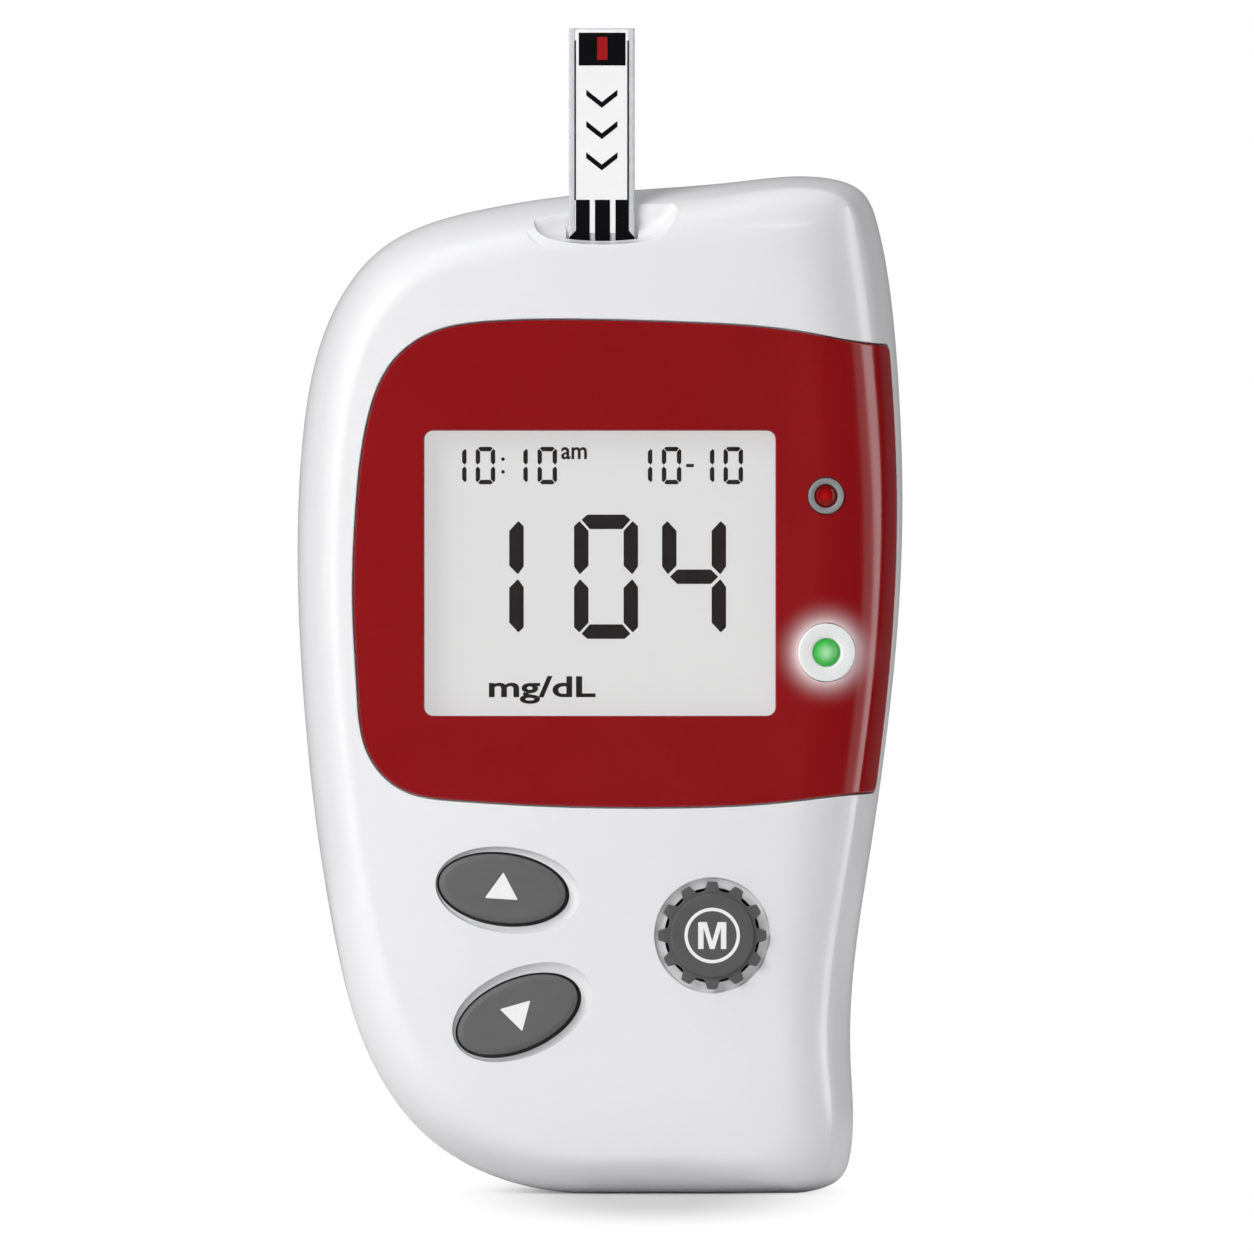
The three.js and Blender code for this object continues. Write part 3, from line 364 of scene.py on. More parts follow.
looks = {
    # ABS from a polished mould: nearly even white, mirror gloss with the faint waviness of the moulding
    "case": ("abs_polished_white", {
        "colours": ("#ededf0", "#f0f0f2"), "driftMm": 18, "roughness": (0.13, 0.17),
        "grainMm": 2.6, "grainDepth": 0.0016, "sockets": {"IOR": 1.54}}),
    # satin ABS, spark-eroded: fine even grain that spreads the light, darker on the cog
    "key": ("abs_satin_grey", {
        "colours": ("#5f5f60", "#686868"), "driftMm": 3.2, "roughness": (0.42, 0.52),
        "grainMm": 0.12, "grainDepth": 0.012, "sockets": {"IOR": 1.5}}),
    "cog": ("abs_satin_dark_grey", {
        "colours": ("#525253", "#5b5b5b"), "driftMm": 3.2, "roughness": (0.42, 0.52),
        "grainMm": 0.12, "grainDepth": 0.012, "sockets": {"IOR": 1.5}}),
    # the same, finer: a soft ring of light round the lamp's rim
    "redBezel": ("abs_satin_light_grey", {
        "colours": ("#8f9092", "#9b9c9e"), "driftMm": 1.5, "roughness": (0.28, 0.36),
        "grainMm": 0.1, "grainDepth": 0.006, "sockets": {"IOR": 1.5}}),
    # milky polycarbonate ring, lit from behind by the lamp
    "greenBezel": ("polycarbonate_milk_white_lit", {
        "colours": ("#f0f1f1", "#f6f7f7"), "driftMm": 1.5, "roughness": (0.30, 0.38),
        "grainMm": 0.2, "grainDepth": 0.004,
        "sockets": {"IOR": 1.58, "Emission Color": linear("#ffffff"), "Emission Strength": 0.07}}),
    # cast epoxy lamp domes: deep colour under a mirror-smooth skin, with a paler middle that is a painted
    # highlight
    "redLens": ("epoxy_cast_red", {
        "colours": ("#7a0106", "#8c0409"), "driftMm": 0.9, "roughness": (0.10, 0.14),
        "grainMm": 0.6, "grainDepth": 0.002, "paintedGlow": ("#c4141a", (0.873, 0.688), 0.8, 0.85),
        "sockets": {"IOR": 1.56, "Specular IOR Level": 0.2}}),
    "greenLens": ("epoxy_cast_green_lit", {
        "colours": ("#2aa53a", "#36b045"), "driftMm": 1.1, "roughness": (0.08, 0.12),
        "grainMm": 0.6, "grainDepth": 0.002, "paintedGlow": ("#c4f0c4", (0.874, 0.534), 1.15, 0.85),
        "sockets": {"IOR": 1.56, "Specular IOR Level": 0.3, "Emission Color": linear("#35c045"),
                    "Emission Strength": 0.2}}),
    # the polariser of a display over its light guide: pale grey. Its even glow is painted light, set to fill
    # the shade that the window's recess casts
    "lcd": ("polariser_film_pale_grey", {
        "colours": ("#8b8b8b", "#8f8f8e"), "driftMm": 6, "roughness": (0.40, 0.50),
        "grainMm": 0.09, "grainDepth": 0.002,
        "sockets": {"IOR": 1.5, "Emission Color": linear("#ffffff"), "Emission Strength": 0.57}}),
    # turned crystals between glass: they keep the light in and look nearly black
    "segment": ("liquid_crystal_dark", {
        "colours": ("#272223", "#2e2829"), "driftMm": 1.6, "roughness": (0.5, 0.6),
        "grainMm": 0.09, "grainDepth": 0.001, "sockets": {"IOR": 1.5, "Specular IOR Level": 0.25}}),
    # PET sheet, slit to width: cool translucent edges
    "stripBase": ("pet_sheet_frosted", {
        "colours": ("#c9cacd", "#dcdde0"), "driftMm": 1.8, "roughness": (0.22, 0.3),
        "grainMm": 0.3, "grainDepth": 0.004, "sockets": {"IOR": 1.57}}),
    # PET film, filled with white pigment: opaque, with a soft sheen
    "stripFilm": ("pet_film_white", {
        "colours": ("#fafafb", "#fdfdfd"), "driftMm": 5, "roughness": (0.32, 0.4),
        "grainMm": 0.25, "grainDepth": 0.002, "sockets": {"IOR": 1.57}}),
    # screen-printed inks: matt and full, with hardly a highlight
    "stripInk": ("screen_ink_black", {
        "colours": ("#050507", "#0b0b0e"), "driftMm": 0.8, "roughness": (0.6, 0.7),
        "grainMm": 0.08, "grainDepth": 0.004, "sockets": {"IOR": 1.5, "Specular IOR Level": 0.15}}),
    "stripRed": ("screen_ink_red", {
        "colours": ("#9c1016", "#a8141a"), "driftMm": 0.8, "roughness": (0.6, 0.7),
        "grainMm": 0.08, "grainDepth": 0.004, "sockets": {"IOR": 1.5, "Specular IOR Level": 0.2}}),
    # pad-printed ink, laid thick: flat opaque white
    "keyInk": ("pad_ink_white", {
        "colours": ("#f2f2f2", "#fafafa"), "driftMm": 0.7, "roughness": (0.38, 0.46),
        "grainMm": 0.1, "grainDepth": 0.003, "sockets": {"IOR": 1.5}}),
    # nickel on steel: bright, drawn and tumbled, so its gloss varies
    "nickel": ("nickel_plated_steel", {
        "colours": ("#c4c0b8", "#d2cfc8"), "driftMm": 1.4, "roughness": (0.22, 0.36),
        "grainMm": 0.18, "grainDepth": 0.006, "sockets": {"Metallic": 1.0}}),
    # gold flashed over stamped bronze: warm and clean, a little brushed
    "gold": ("gold_flashed_bronze", {
        "colours": ("#c79a3c", "#d8b052"), "driftMm": 0.8, "roughness": (0.2, 0.32),
        "grainMm": 0.15, "grainDepth": 0.003, "sockets": {"Metallic": 1.0}}),
    # engineering plastics from an eroded mould: dull skins with the mould's texture
    "blackMoulding": ("pbt_moulded_black", {
        "colours": ("#161618", "#202022"), "driftMm": 1.2, "roughness": (0.45, 0.6),
        "grainMm": 0.1, "grainDepth": 0.01, "sockets": {"IOR": 1.55}}),
    "greyMoulding": ("pom_moulded_grey", {
        "colours": ("#868889", "#929494"), "driftMm": 1.2, "roughness": (0.38, 0.5),
        "grainMm": 0.12, "grainDepth": 0.008, "sockets": {"IOR": 1.48}}),
    "whiteMoulding": ("abs_moulded_satin_white", {
        "colours": ("#e4e4e2", "#ececea"), "driftMm": 4, "roughness": (0.38, 0.48),
        "grainMm": 0.15, "grainDepth": 0.008, "sockets": {"IOR": 1.54}}),
}
finishes = {key: surface(name, look) for key, (name, look) in looks.items()}

redLook = {
    "colours": ("#8b0e14", "#920f15"), "driftMm": 9, "roughness": (0.10, 0.15), "waveMm": 3.2,
    "waveDepth": 0.0014,
    # the brighter red, from the first x to the second, is painted light on the flank; the halo is a painted
    # glow round the lit lamp
    "deep": "#9a1017", "paintedLightX": (13, 26), "sockets": {"IOR": 1.49},
    "lamp": (0.874, 0.534), "halo": "#ffe9eb", "haloInner": 2.6, "haloOuter": 6.0, "haloPower": 4.0,
}


# Red acrylic, moulded in its mass: even deep colour under a hard gloss. Toward the right flank the colour
# turns a brighter red, painted light that makes up for the shade where the plate turns away from the lamps.
# Round the lit lamp a painted glow pales it: the share of the glow colour is a power of the way left to the
# outer radius.
def redPlate():
    material, tree, shader, spots = newMaterial("acrylic_gloss_red", redLook)
    drift = addNode(tree, "ShaderNodeTexNoise", None, {
        "Vector": spots, "Scale": perMetre(redLook["driftMm"]), "Detail": 4.0})
    first, second = (linear(code) for code in redLook["colours"])
    red = addNode(tree, *colourMix, {0: drift.outputs[0], 6: first, 7: second})
    parts = addNode(tree, "ShaderNodeSeparateXYZ", None, {0: spots})
    near, far = (x * metresPerMm for x in redLook["paintedLightX"])
    # painted light: the red brightens across the flank to make up for its shade
    flankLightShare = addNode(tree, *smoothRange, {0: parts.outputs["X"], 1: near, 2: far})
    deep = addNode(tree, *colourMix, {0: flankLightShare.outputs[0], 6: red.outputs[2], 7: linear(redLook["deep"])})
    left = addNode(tree, "ShaderNodeMapRange", None, {
        0: awayFrom(tree, spots, redLook["lamp"]), 1: redLook["haloInner"] * metresPerMm,
        2: redLook["haloOuter"] * metresPerMm, 3: 1.0, 4: 0.0})
    share = addNode(tree, "ShaderNodeMath", {"operation": "POWER"}, {
        0: left.outputs[0], 1: redLook["haloPower"]})
    lit = addNode(tree, *colourMix, {0: share.outputs[0], 6: deep.outputs[2], 7: linear(redLook["halo"])})
    wave = addNode(tree, "ShaderNodeTexNoise", None, {
        "Vector": spots, "Scale": perMetre(redLook["waveMm"]), "Detail": 1.0})
    finishShader(tree, shader, lit.outputs[2], drift.outputs[0], redLook["roughness"], wave.outputs[0],
                 redLook["waveDepth"])
    return material


paneLook = {"wipeTurn": 0.5, "wipeDraw": 9, "wipeMm": 6, "roughness": (0.05, 0.12), "clear": "#fcfcfc",
            "facing": 0.02, "grazing": 0.7, "steepness": 5.0}


# A hard-coated acrylic pane: it lets nearly all light through and keeps a faint gloss at its face, whose
# share grows with a power of how edge-on the face is seen. The gloss gathers fine wipe marks, a noise
# drawn out along one way.
def clearPane():
    material = bpy.data.materials.new("acrylic_pane_clear")
    material.use_nodes = True
    tree = material.node_tree
    tree.nodes.remove(tree.nodes["Principled BSDF"])
    spots = addNode(tree, "ShaderNodeTexCoord").outputs["Object"]
    drawn = addNode(tree, "ShaderNodeMapping", None, {
        "Vector": spots, "Rotation": (0, paneLook["wipeTurn"], 0), "Scale": (1, 1, paneLook["wipeDraw"])})
    marks = addNode(tree, "ShaderNodeTexNoise", None, {
        "Vector": drawn.outputs[0], "Scale": perMetre(paneLook["wipeMm"])})
    low, high = paneLook["roughness"]
    rough = addNode(tree, "ShaderNodeMapRange", None, {0: marks.outputs[0], 3: low, 4: high})
    gloss = addNode(tree, "ShaderNodeBsdfGlossy", None, {
        "Color": linear("#ffffff"), "Roughness": rough.outputs[0]})
    clear = addNode(tree, "ShaderNodeBsdfTransparent", None, {"Color": linear(paneLook["clear"])})
    facing = addNode(tree, "ShaderNodeLayerWeight", None, {"Blend": 0.5})
    steep = addNode(tree, "ShaderNodeMath", {"operation": "POWER"}, {
        0: facing.outputs["Facing"], 1: paneLook["steepness"]})
    share = addNode(tree, "ShaderNodeMath", {"operation": "MULTIPLY_ADD"}, {
        0: steep.outputs[0], 1: paneLook["grazing"], 2: paneLook["facing"]})
    blend = addNode(tree, "ShaderNodeMixShader", None, {
        0: share.outputs[0], 1: clear.outputs[0], 2: gloss.outputs[0]})
    tree.links.new(blend.outputs[0], tree.nodes["Material Output"].inputs["Surface"])
    return material


boardLook = {"netMm": 1.0, "net": {"Mortar Size": 0.12, "Brick Width": 5.2, "Row Height": 1.1},
             "colours": ("#185033", "#1b5638", "#2c7a4d"), "dotsMm": 3.1, "dot": (0.10, 0.12),
             "tin": "#b9bcb6",
             "roughness": (0.32, 0.45), "traceDepth": 0.03, "sockets": {"IOR": 1.5}}


# Glass-fibre board under green solder mask: traces show as paler lines on a square net, with tinned dots
# where they end.
def circuitBoard():
    material, tree, shader, spots = newMaterial("fr4_solder_mask_green", boardLook)
    turned = addNode(tree, "ShaderNodeMapping", None, {"Vector": spots, "Rotation": (math.pi / 2, 0, 0)})
    first, second, trace = (linear(code) for code in boardLook["colours"])
    traces = addNode(tree, "ShaderNodeTexBrick", {"offset": 0.35}, {
        "Vector": turned.outputs[0], "Scale": perMetre(boardLook["netMm"]), **boardLook["net"],
        "Color1": first, "Color2": second, "Mortar": trace})
    dots = addNode(tree, "ShaderNodeTexVoronoi", None, {
        "Vector": spots, "Scale": perMetre(boardLook["dotsMm"])})
    inner, outer = boardLook["dot"]
    tin = addNode(tree, "ShaderNodeMapRange", None, {
        0: dots.outputs["Distance"], 1: inner, 2: outer, 3: 1.0, 4: 0.0})
    base = addNode(tree, *colourMix, {
        0: tin.outputs[0], 6: traces.outputs["Color"], 7: linear(boardLook["tin"])})
    finishShader(tree, shader, base.outputs[2], traces.outputs["Fac"], boardLook["roughness"],
                 traces.outputs["Fac"], boardLook["traceDepth"], 0.5, (0.0, 1.0))
    return material


siliconeLook = {"pitchMm": 0.2, "colours": ("#2a2b2c", "#8c8380"), "layerDepth": 0.01,
                "sockets": {"IOR": 1.42, "Roughness": 0.6}}


# Silicone connector: carbon-loaded layers alternate with clear ones every 0.2 mm along its length. A wave
# texture runs 20 / pi bands at scale 1.
def layeredSilicone():
    material, tree, shader, spots = newMaterial("silicone_layered_grey", siliconeLook)
    layers = addNode(tree, "ShaderNodeTexWave", {"bands_direction": "X"}, {
        "Vector": spots, "Scale": perMetre(siliconeLook["pitchMm"]) / 20 * math.pi, "Distortion": 0.4,
        "Detail": 1.0})
    carbon, clear = (linear(code) for code in siliconeLook["colours"])
    colour = addNode(tree, *colourMix, {0: layers.outputs[0], 6: carbon, 7: clear})
    finishShader(tree, shader, colour.outputs[2], None, None, layers.outputs[0], siliconeLook["layerDepth"])
    return material


sleeveLook = {"band": (55.0, 4.2), "lines": [(49.0, 0.4), (32.0, 0.4)], "slates": ("#27364c", "#2f4059"),
              "driftMm": 7, "bandColour": "#c3c7cc", "lineColour": "#d9dcdf", "roughness": (0.24, 0.36),
              "wrinkleMm": 1.4, "wrinkleDepth": 0.02, "sockets": {"IOR": 1.53}}


# Printed PVC sleeve, shrunk on: dark slate with a pale band under the top and thin lines beside it, each
# given by its height and half its width, a soft gloss, and the fine wrinkles of the shrinking.
def printedSleeve():
    material, tree, shader, spots = newMaterial("pvc_sleeve_printed", sleeveLook)
    parts = addNode(tree, "ShaderNodeSeparateXYZ", None, {0: spots})
    band, line, low = (addNode(tree, "ShaderNodeMath", {"operation": "COMPARE"}, {
        0: parts.outputs["Z"], 1: z * metresPerMm, 2: half * metresPerMm}).outputs[0]
        for z, half in [sleeveLook["band"], *sleeveLook["lines"]])
    both = addNode(tree, "ShaderNodeMath", {"operation": "MAXIMUM"}, {0: line, 1: low})
    drift = addNode(tree, "ShaderNodeTexNoise", None, {
        "Vector": spots, "Scale": perMetre(sleeveLook["driftMm"]), "Detail": 3.0})
    dark, light = (linear(code) for code in sleeveLook["slates"])
    slate = addNode(tree, *colourMix, {0: drift.outputs[0], 6: dark, 7: light})
    banded = addNode(tree, *colourMix, {0: band, 6: slate.outputs[2], 7: linear(sleeveLook["bandColour"])})
    lined = addNode(tree, *colourMix, {
        0: both.outputs[0], 6: banded.outputs[2], 7: linear(sleeveLook["lineColour"])})
    wrinkles = addNode(tree, "ShaderNodeTexNoise", None, {
        "Vector": spots, "Scale": perMetre(sleeveLook["wrinkleMm"]), "Detail": 2.0})
    finishShader(tree, shader, lined.outputs[2], drift.outputs[0], sleeveLook["roughness"],
                 wrinkles.outputs[0], sleeveLook["wrinkleDepth"])
    return material


faceEdgeY = body["faceY"] + body["crown"]


# A closed smooth loop through points: a periodic cubic spline over chord lengths. Its second derivatives
# solve the cyclic system that makes the slopes agree at each point.
def smoothLoop(points, count):
    points = np.asarray(points, float)
    total = len(points)
    steps = np.linalg.norm(np.roll(points, -1, 0) - points, axis=1)
    before = np.roll(steps, 1)
    here = np.arange(total)
    system = np.zeros((total, total))
    system[here, here] = 2 * (before + steps)
    system[here, here - 1] += before
    system[here, (here + 1) % total] += steps
    slopes = (np.roll(points, -1, 0) - points) / steps[:, None]
    bends = np.linalg.solve(system, 6 * (slopes - np.roll(slopes, 1, 0)))
    knots = np.append(0, np.cumsum(steps))
    at = np.linspace(0, knots[-1], count, endpoint=False)
    part = np.searchsorted(knots, at, side="right") - 1
    ahead = (part + 1) % total
    step = steps[part][:, None]
    u = (knots[part + 1] - at)[:, None]
    v = (at - knots[part])[:, None]
    return (
        (bends[part] * u ** 3 + bends[ahead] * v ** 3) / (6 * step)
        + (points[part] / step - bends[part] * step / 6) * u
        + (points[ahead] / step - bends[ahead] * step / 6) * v
    )


bodyRows = np.array(body["shares"])
bodyLoop = smoothLoop(np.hstack([placeOf(bodyRows[:, :2]), placeOf(bodyRows[:, 2:])]), body["samples"])
rimLoop = bodyLoop[:, :2].copy()
rimLoop[:, 1] = np.maximum(rimLoop[:, 1], 0)
faceLoop = bodyLoop[:, 2:]
faceCentre = placeOf(body["faceCentreShares"])
rollWidth = np.linalg.norm(rimLoop - faceLoop, axis=1)
outDirection = (rimLoop - faceLoop) / rollWidth[:, None]
rollDrop = body["rollAtFoot"] + (body["rollAtTop"] - body["rollAtFoot"]) * rimLoop[:, 1] / body["height"]
crownSlope = 2 * body["crown"] / np.linalg.norm(faceLoop - faceCentre, axis=1)


# Depth of the front edge behind the edge of the face. An arc grows as its share to the power 2.2 as far as
# the crease, and a wall falls from there to the rim; the greater of the two counts, with the corner
# between them rounded by a soft maximum. The crown's slope fades out across the arc. Where the roll is
# narrow, the arc keeps a least share of its width.
def edgeDepth(outward, width, drop, slope):
    arcWidth = np.maximum(width - body["creaseInset"], body["leastArcShare"] * width)
    creaseDrop = body["creaseDepthShare"] * drop
    ratio = outward / arcWidth
    power = body["arcPower"]
    arc = creaseDrop * np.where(ratio < 1, np.clip(ratio, 0, 1) ** power, 1 + power * (ratio - 1))
    left = np.clip(width - outward, 0, None) / body["creaseInset"]
    wall = drop - (drop - creaseDrop) * left ** (1 / body["wallPower"])
    depth = (arc + wall + np.sqrt((arc - wall) ** 2 + body["creaseSoftness"] ** 2)) / 2
    return depth + slope * outward * (1 - outward / width) ** 2


# Rows of the front, from the first ring of the face to the rim, for the form moved in by an inset
def frontRows(inset, faceRings=23, arcRings=19, wallRings=16):
    rows = []
    for share in np.linspace(0, 1, faceRings + 1)[1:]:
        spots = faceCentre + share * (faceLoop - faceCentre)
        rows.append(np.insert(spots, 1, body["faceY"] + inset + body["crown"] * share ** 2, axis=1))
    width = rollWidth - inset
    arcShares = 1 - (1 - np.linspace(0, 1, arcRings)[1:]) ** body["arcGather"]
    wallShares = np.linspace(0, 1, wallRings)[1:]
    stations = [(width - body["creaseInset"]) * t for t in arcShares]
    stations += [width - body["creaseInset"] * (1 - t) ** body["wallPower"] for t in wallShares]
    for outward in stations:
        spots = faceLoop + outDirection * outward[:, None]
        depth = faceEdgeY + inset + edgeDepth(outward, width, rollDrop, crownSlope)
        rows.append(np.insert(spots, 1, depth, axis=1))
    return rows


# The rim at a depth, moved inward by an inset
def rimRow(inset, depth):
    return np.insert(rimLoop - outDirection * np.reshape(inset, (-1, 1)), 1, depth, axis=1)


# Rows of the back from the seam to the edge of the flat back: straight, then a quarter of an ellipse
def rearRows(inset, rings=14):
    rows = []
    reach = rollWidth * body["rearRollShare"] - inset
    for angle in np.linspace(0, math.pi / 2, rings):
        depth = body["rearY"] - inset - (body["rearRoll"] - inset) * (1 - math.sin(angle))
        rows.append(rimRow(inset + reach * (1 - math.cos(angle)), depth))
    return rows


# The middle of the face at a depth, in which rows of the body end
def facePole(depth):
    return (faceCentre[0], depth, faceCentre[1])


# The front's outer skin, moved in by an inset and closed at a depth behind
def frontForm(name, inset, backY, cut=0):
    rows = frontRows(inset) + [rimRow(inset, backY)]
    return closedForm(name, rows, facePole(body["faceY"] + inset), facePole(backY), cut)


# Where spots lie among the runs that lead from each start to its end: the fractional number of the run
# through each spot, found where the side of the run that it lies on changes, and the share along it.
def alongFamily(starts, ends, spots):
    runs = ends - starts
    toSpots = spots[:, None] - starts[None]
    side = runs[None, :, 0] * toSpots[..., 1] - runs[None, :, 1] * toSpots[..., 0]
    ahead = (runs[None] * toSpots).sum(-1) > 0
    after = np.roll(side, -1, 1)
    passes = (side >= 0) & (after < 0) & ahead
    run = np.argmax(passes, 1)
    spot = np.arange(len(spots))
    part = side[spot, run] / (side[spot, run] - after[spot, run])
    station = run + part
    start = stationed(starts, station)
    whole = stationed(ends, station) - start
    share = ((spots - start) * whole).sum(-1) / (whole ** 2).sum(-1)
    return station, share


# Values at fractional numbers, straight from each whole number to the next and round again
def stationed(values, station):
    count = len(values)
    low = np.floor(station).astype(int) % count
    part = (station - np.floor(station)).reshape((-1,) + (1,) * (values.ndim - 1))
    return values[low] * (1 - part) + values[(low + 1) % count] * part


# Depth of the front skin at spots in the plane of the face
def skinDepth(spots):
    spots = np.asarray(spots, float)
    centres = np.broadcast_to(faceCentre, faceLoop.shape)
    _, share = alongFamily(centres, faceLoop, spots)
    station, outShare = alongFamily(faceLoop, rimLoop, spots)
    width = stationed(rollWidth, station)
    outward = np.clip(outShare, 0, 1) * width
    edge = faceEdgeY + edgeDepth(outward, width, stationed(rollDrop, station), stationed(crownSlope, station))
    return np.where(share <= 1, body["faceY"] + body["crown"] * share ** 2, edge)


# Outward normals of the front skin, from its slopes by central differences
def skinNormals(spots, step=0.02):
    acrossX = np.array([step, 0])
    acrossZ = np.array([0, step])
    slopeX = (skinDepth(spots + acrossX) - skinDepth(spots - acrossX)) / (2 * step)
    slopeZ = (skinDepth(spots + acrossZ) - skinDepth(spots - acrossZ)) / (2 * step)
    normals = np.stack([slopeX, -np.ones(len(spots)), slopeZ], -1)
    return normals / np.linalg.norm(normals, axis=1)[:, None]


# Spots in the plane of the face, laid on the front skin
def onSkin(spots):
    return np.insert(spots, 1, skinDepth(spots), axis=1)


# Profile of a rounded lip where a cut meets the skin, as (offset, depth) rows from outside to inside: a
# straight flare, then a quarter circle, offset r (1 - cos a) and depth r (1 - sin a), that ends in the wall
def lipRows(radius, reach=6.0, flare=0.8, steepest=75):
    angles = np.radians(np.linspace(steepest, 0, 5))
    offset = radius * (1 - np.cos(angles))
    depth = radius * (1 - np.sin(angles))
    start = (offset[0] + flare, depth[0] - flare / math.tan(math.radians(steepest)))
    return [(start[0], start[1] - reach), start] + list(zip(offset, depth))


# depths at which cutters start before the skin, and at which they end behind it
cutFrom = -2
cutTo = 6
lampCutTo = 5


# A closed cutter along a loop on the skin. A row lies at an offset from the loop, outward within the
# surface, and at a depth along the inward direction.
def skinCutter(name, points, rows, inward=(0, 1, 0), firstPole=None, lastPole=None):
    along = np.roll(points, -1, 0) - np.roll(points, 1, 0)
    outward = np.cross(along, skinNormals(points[:, [0, 2]]))
    outward /= np.linalg.norm(outward, axis=1)[:, None]
    inward = np.broadcast_to(np.asarray(inward, float), points.shape)
    layers = [points + outward * offset + inward * depth for offset, depth in rows]
    return closedForm(name, layers, firstPole, lastPole, cut=1)


# An ellipse: long cos a and short sin a, turned about its centre by an angle in degrees
def ellipseLoop(centre, long, short, turn, count=160):
    angle = roundTurn(count)
    turn = math.radians(turn)
    x = long * np.cos(angle)
    z = short * np.sin(angle)
    return centre + np.stack([
        x * math.cos(turn) - z * math.sin(turn), x * math.sin(turn) + z * math.cos(turn)], -1)


# A circle about a place on the face, at one depth
def circleRow(centre, radius, depth, count):
    return np.insert(ellipseLoop(np.asarray(centre), radius, radius, 0, count), 1, depth, axis=1)


# A rounded rectangle, counter-clockwise: four quarter circles joined by straight sides
def rectangleLoop(centre, width, height, corner, cornerSteps=8, sideSteps=12):
    angle = np.linspace(0, math.pi / 2, cornerSteps)
    arc = corner * np.stack([np.cos(angle), np.sin(angle)], -1)
    quarters = []
    for quarter, (sx, sz) in enumerate([(1, -1), (1, 1), (-1, 1), (-1, -1)]):
        turn = (quarter - 1) * math.pi / 2
        spin = np.array([[math.cos(turn), math.sin(turn)], [-math.sin(turn), math.cos(turn)]])
        middle = centre + np.array([sx * (width / 2 - corner), sz * (height / 2 - corner)])
        quarters.append(middle + arc @ spin)
    quarters = np.array(quarters)
    starts = quarters[:, -1]
    ends = np.roll(quarters[:, 0], -1, 0)
    sides = starts[:, None] + (ends - starts)[:, None] * np.linspace(0, 1, sideSteps + 1)[None, 1:-1, None]
    return np.vstack([part for pair in zip(quarters, sides) for part in pair])


plate = {
    "thickness": 0.9,
    "gap": 0.13,
    "floorGap": 0.25,
    "lip": 0.16,
    "pocketLip": 0.12,
    "lipSteepest": 75,
    "flare": 0.8,
    "flareReach": 6.2,
    "endY": -4.75,
    "endCorner": 0.8,
    "spacing": 0.22,
    # the outline's points further right than edgeX give way to the square end; the flank lies beyond flankX
    "edgeX": 27.9,
    "flankX": 14.0,
    "flankPast": 0.5,
    # the cutters turn to the right across a stretch of the width, by an angle in degrees
    "turnX": 15,
    "turnWidth": 12,
    "turn": 60,
    "prismDepth": 3.4,
    "prismPoles": ((22, -19, 58), (2, -7, 58)),
    "shares": [
        (0.401, 0.384), (0.599, 0.382), (0.797, 0.387), (0.962, 0.396), (1.094, 0.402), (1.094, 0.830),
        (0.969, 0.836), (0.830, 0.849), (0.649, 0.858), (0.467, 0.861), (0.318, 0.859), (0.219, 0.847),
        (0.157, 0.818), (0.120, 0.767), (0.099, 0.674), (0.094, 0.585), (0.101, 0.497), (0.122, 0.431),
        (0.170, 0.401), (0.261, 0.389),
    ],
}


# The x at which the right flank reaches a depth, by halving the span between the face and the rim
def flankX(depths, heights):
    low = np.full(len(heights), plate["flankX"])
    high = np.full(len(heights), body["width"] / 2 + plate["flankPast"])
    for _ in range(30):
        middle = (low + high) / 2
        shallow = skinDepth(np.stack([middle, heights], -1)) < depths
        low = np.where(shallow, middle, low)
        high = np.where(shallow, high, middle)
    return (low + high) / 2


# The plate's outline on the skin. Its long edges run over the crease, and its end on the flank is
# square to them, with a quarter circle at each corner, in the plane of depth and height.
def plateOutline(grow=0.0):
    loop = grown(smoothLoop(placeOf(plate["shares"]), 1600), grow)
    radius = plate["endCorner"] + grow
    endY = plate["endY"] + grow
    inside = loop[:, 0] < plate["edgeX"]
    first = np.argmax(~inside & np.roll(inside, 1))
    loop = np.roll(loop, -first, 0)
    loop = loop[loop[:, 0] < plate["edgeX"]]
    loop = loop[skinDepth(loop) < endY - radius]
    topZ = loop[0, 1]
    lowZ = loop[-1, 1]
    angle = np.linspace(0, math.pi / 2, 10)
    lowCorner = np.stack([endY - radius + radius * np.sin(angle), lowZ + radius * (1 - np.cos(angle))], -1)
    side = np.stack([np.full(60, endY), np.linspace(lowZ + radius, topZ - radius, 62)[1:-1]], -1)
    highCorner = np.stack([lowCorner[::-1, 0], topZ - radius * (1 - np.cos(angle[::-1]))], -1)
    end = np.vstack([lowCorner, side, highCorner])
    endPoints = np.stack([flankX(end[:, 0], end[:, 1]), end[:, 0], end[:, 1]], -1)
    points = np.vstack([onSkin(loop), endPoints])
    return evenly(points, plate["spacing"])


# A closed line of points laid out again at an even spacing
def evenly(points, spacing):
    closed = np.vstack([points, points[:1]])
    lengths = np.append(0, np.cumsum(np.linalg.norm(np.diff(closed, axis=0), axis=1)))
    count = int(round(lengths[-1] / spacing))
    at = np.linspace(0, lengths[-1], count, endpoint=False)
    return np.stack([np.interp(at, lengths, closed[:, k]) for k in range(closed.shape[1])], -1)


# Inward directions that turn from straight back on the face to an angle across at the right flank, by a
# smooth step s^2 (3 - 2s)
def plateInward(points):
    share = np.clip((points[:, 0] - plate["turnX"]) / plate["turnWidth"], 0, 1)
    angle = math.radians(plate["turn"]) * share ** 2 * (3 - 2 * share)
    return np.stack([-np.sin(angle), np.cos(angle), np.zeros(len(points))], -1)


# A cutter along the plate's outline, grown outward by a length
def platePrism(name, grow, rows):
    points = plateOutline(grow)
    rows = rows + [(rows[-1][0], plate["prismDepth"])]
    return skinCutter(name, points, rows, plateInward(points), *plate["prismPoles"])


